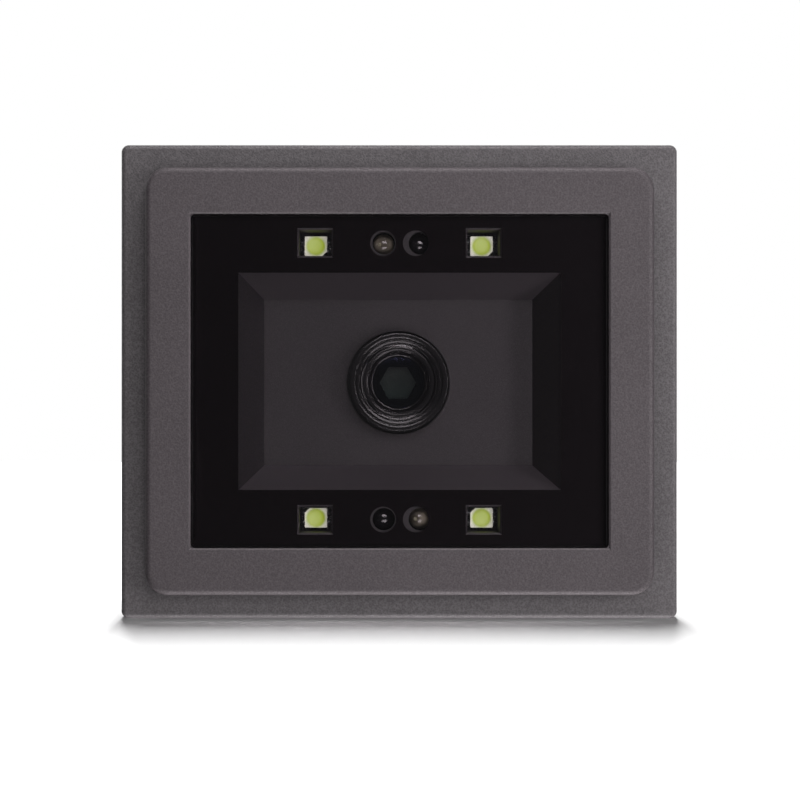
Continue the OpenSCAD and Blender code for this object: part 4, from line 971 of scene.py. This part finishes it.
def screw(drive):
    """The recipe of a screw with the given drive."""
    def recipe(tree, points, size):
        rim = add_node(tree, "GeometryNodeMeshCylinder", {"Vertices": 40}, {
            "Radius": size["Head radius"], "Depth": size["Rim height"]})
        crown = add_node(tree, "GeometryNodeExtrudeMesh", {}, {
            "Mesh": rim.outputs["Mesh"], "Selection": rim.outputs["Top"],
            "Offset Scale": size["Crown height"]})
        drawn_in = add_node(tree, "GeometryNodeScaleElements", {}, {
            "Geometry": crown.outputs[0], "Selection": crown.outputs["Top"], "Scale": size["Crown share"]})
        seated = add_node(tree, "GeometryNodeTransform", {}, {
            0: drawn_in.outputs[0], "Translation": size["Rim place"]})
        head = add_node(tree, "GeometryNodeMeshBoolean", {}, {"Mesh 1": seated.outputs[0]},
                        operation="DIFFERENCE")
        for cutter in drive(tree, size):
            tree.links.new(cutter, head.inputs["Mesh 2"])
        ridge = add_node(tree, "GeometryNodeMeshCone", {"Vertices": 24}, {
            "Radius Top": size["Shank radius"], "Radius Bottom": size["Root radius"],
            "Depth": size["Pitch"]})
        turns = add_node(tree, "GeometryNodeMeshLine", {}, {
            "Count": size["Turns"], "Start Location": size["First ridge"], "Offset": size["Step"]})
        shank = add_node(tree, "GeometryNodeInstanceOnPoints", {}, {
            "Points": turns.outputs[0], "Instance": ridge.outputs[0]})
        whole = add_node(tree, "GeometryNodeJoinGeometry", {}, {0: head.outputs[0]})
        tree.links.new(shank.outputs[0], whole.inputs[0])
        return add_node(tree, "GeometryNodeInstanceOnPoints", {}, {
            "Points": points, "Instance": whole.outputs[0], "Rotation": size["Turn"]}).outputs[0]
    return recipe


def screw_sizes(head_r, head_h, crown_h, crown_share, shank_r, length, pitch, bar, depth, turn):
    """The inputs of a screw's recipe, in metres, from sizes in mm."""
    turns = int(length / pitch)
    return {"Head radius": head_r * MM, "Rim height": (head_h - crown_h) * MM,
            "Crown height": crown_h * MM, "Crown share": crown_share,
            "Rim place": (0.0, 0.0, (head_h - crown_h) / 2 * MM),
            "Drive size": (bar[0] * MM, bar[1] * MM, 2 * depth * MM),
            "Drive place": (0.0, 0.0, head_h * MM), "Shank radius": shank_r * MM,
            "Root radius": 0.78 * shank_r * MM, "Pitch": length / turns * MM, "Turns": turns,
            "First ridge": (0.0, 0.0, -length / turns * MM), "Step": (0.0, 0.0, -length / turns * MM),
            "Turn": (turn, 0.0, 0.0)}


small_head_r, small_head_h = 1.9, 1.3
for node, name, head_behind in (
        ("mask_screws", "mask_pan_screws", True), ("light_board_screws", "light_pan_screws", True),
        ("sensor_board_screws", "sensor_pan_screws", True),
        ("lens_holder_screws", "holder_pan_screws", True),
        ("decoder_board_screws", "decoder_pan_screws", False)):
    low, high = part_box(node)
    length = (high.y - low.y) / MM - small_head_h
    seat_y = high.y / MM - small_head_h if head_behind else low.y / MM + small_head_h
    x = high.x / MM - small_head_r
    z = (high.z - low.z) / 2 / MM - small_head_r
    places = [(sx * x, seat_y, sz * z) for sx in (-1, 1) for sz in ((-1, 1) if z > 0.01 else (0,))]
    turn = -math.pi / 2 if head_behind else math.pi / 2
    pan_screws = grow(name, places, screw(cross_drive), screw_sizes(
        small_head_r, small_head_h, 0.45, 0.74, 0.8, length, 0.5, (2.2, 0.5), 0.7, turn),
        finishes["screw_steel"])
    settle(pan_screws, "screw_steel", node)

low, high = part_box("housing_screws")
cap_head_r, cap_head_h = 2.75, 3.0
x, z = high.x / MM - cap_head_r, (high.z - low.z) / 2 / MM - cap_head_r
seat_y = high.y / MM - cap_head_h
places = [(sx * x, seat_y, sz * z) for sx in (-1, 1) for sz in (-1, 1)]
cap_screws = grow("socket_head_screws", places, screw(socket_drive), screw_sizes(
    cap_head_r, cap_head_h, 0.25, 0.9, 1.5, seat_y - low.y / MM, 0.5, (2.9, 2.9), 1.6, -math.pi / 2),
    finishes["screw_steel"])
settle(cap_screws, "screw_steel", "housing_screws")

# %% [markdown]
# ## Inserts and port contacts
#
# The four mounting inserts are brass, pressed into the back while hot. Their threads show
# from behind as bright rings, so the bore is turned with a ridge for each turn. The data port
# has eight gold-plated springs: each wire runs forward under the roof, turns back at the front
# and slopes down, so that a plug bends it up. One curve for the wire, copied eight times.

# %% Inserts and port contacts
low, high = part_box("mount_inserts")
insert_in, insert_out = low.y / MM, high.y / MM
insert_flange_r, insert_r, crest_r, root_r, insert_pitch = 2.8, 2.1, 1.25, 1.45, 0.45
x, z = high.x / MM - insert_flange_r, (high.z - low.z) / 2 / MM - insert_flange_r
bore = [(root_r + 0.1, insert_out), (root_r, insert_out - 0.12)]
for i in range(int((insert_out - insert_in - 0.5) / insert_pitch)):
    ridge_y = insert_out - 0.12 - (i + 0.5) * insert_pitch
    bore += [(crest_r, ridge_y), (root_r, ridge_y - insert_pitch / 2)]
shell = [(root_r, insert_in), (insert_r - 0.2, insert_in), (insert_r, insert_in + 0.4),
         (insert_r, insert_out - 2.6), (insert_r - 0.25, insert_out - 2.5),
         (insert_r - 0.25, insert_out - 2.1), (insert_r, insert_out - 2.0), (insert_r, insert_out - 0.5),
         (insert_flange_r, insert_out - 0.5), (insert_flange_r, insert_out)]
inserts = turned_piece("threaded_inserts", [rounded(bore + shell, 0.05)], finishes["insert_brass"],
                       [(sx * x, sz * z) for sx in (-1, 1) for sz in (-1, 1)], 64)
settle(inserts, "insert_brass", "mount_inserts")


def spring_wires(tree, points, size):
    """One bent wire on each place."""
    path = add_node(tree, "GeometryNodeCurvePrimitiveBezierSegment", {"Resolution": 28}, {
        "Start": size["Root"], "Start Handle": size["Roof handle"],
        "End Handle": size["Spring handle"], "End": size["Tip"]})
    ring = add_node(tree, "GeometryNodeCurvePrimitiveCircle", {"Resolution": 12}, {
        "Radius": size["Wire radius"]})
    wire = add_node(tree, "GeometryNodeCurveToMesh", {"Fill Caps": True}, {
        0: path.outputs[0], 1: ring.outputs[0]})
    return add_node(tree, "GeometryNodeInstanceOnPoints", {}, {
        "Points": points, "Instance": wire.outputs[0]}).outputs[0]


low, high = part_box("port_contacts")
wire_pitch = (high.x - low.x - 0.35 * MM) / 7 / MM
wires = grow("port_spring_wires", [((i - 3.5) * wire_pitch, low.y / MM, (high.z - axis_z) / MM)
                                   for i in range(8)], spring_wires, {
    "Root": (0.0, 0.2 * MM, -0.2 * MM), "Roof handle": (0.0, 11.2 * MM, -0.12 * MM),
    "Spring handle": (0.0, 11.2 * MM, -0.5 * MM), "Tip": (0.0, 0.2 * MM, -1.2 * MM),
    "Wire radius": 0.15 * MM}, finishes["contact_gold"])
settle(wires, "contact_gold", "port_contacts")

# %% [markdown]
# ## The scene's box
#
# The last cell prints, in mm, the box around everything that renders, the floor left out. The
# finer pieces must stay inside the CAD model's box.

# %% Finish
low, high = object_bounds()
print("scene box in mm:", [round(v / MM, 2) for v in (*low, *high)])
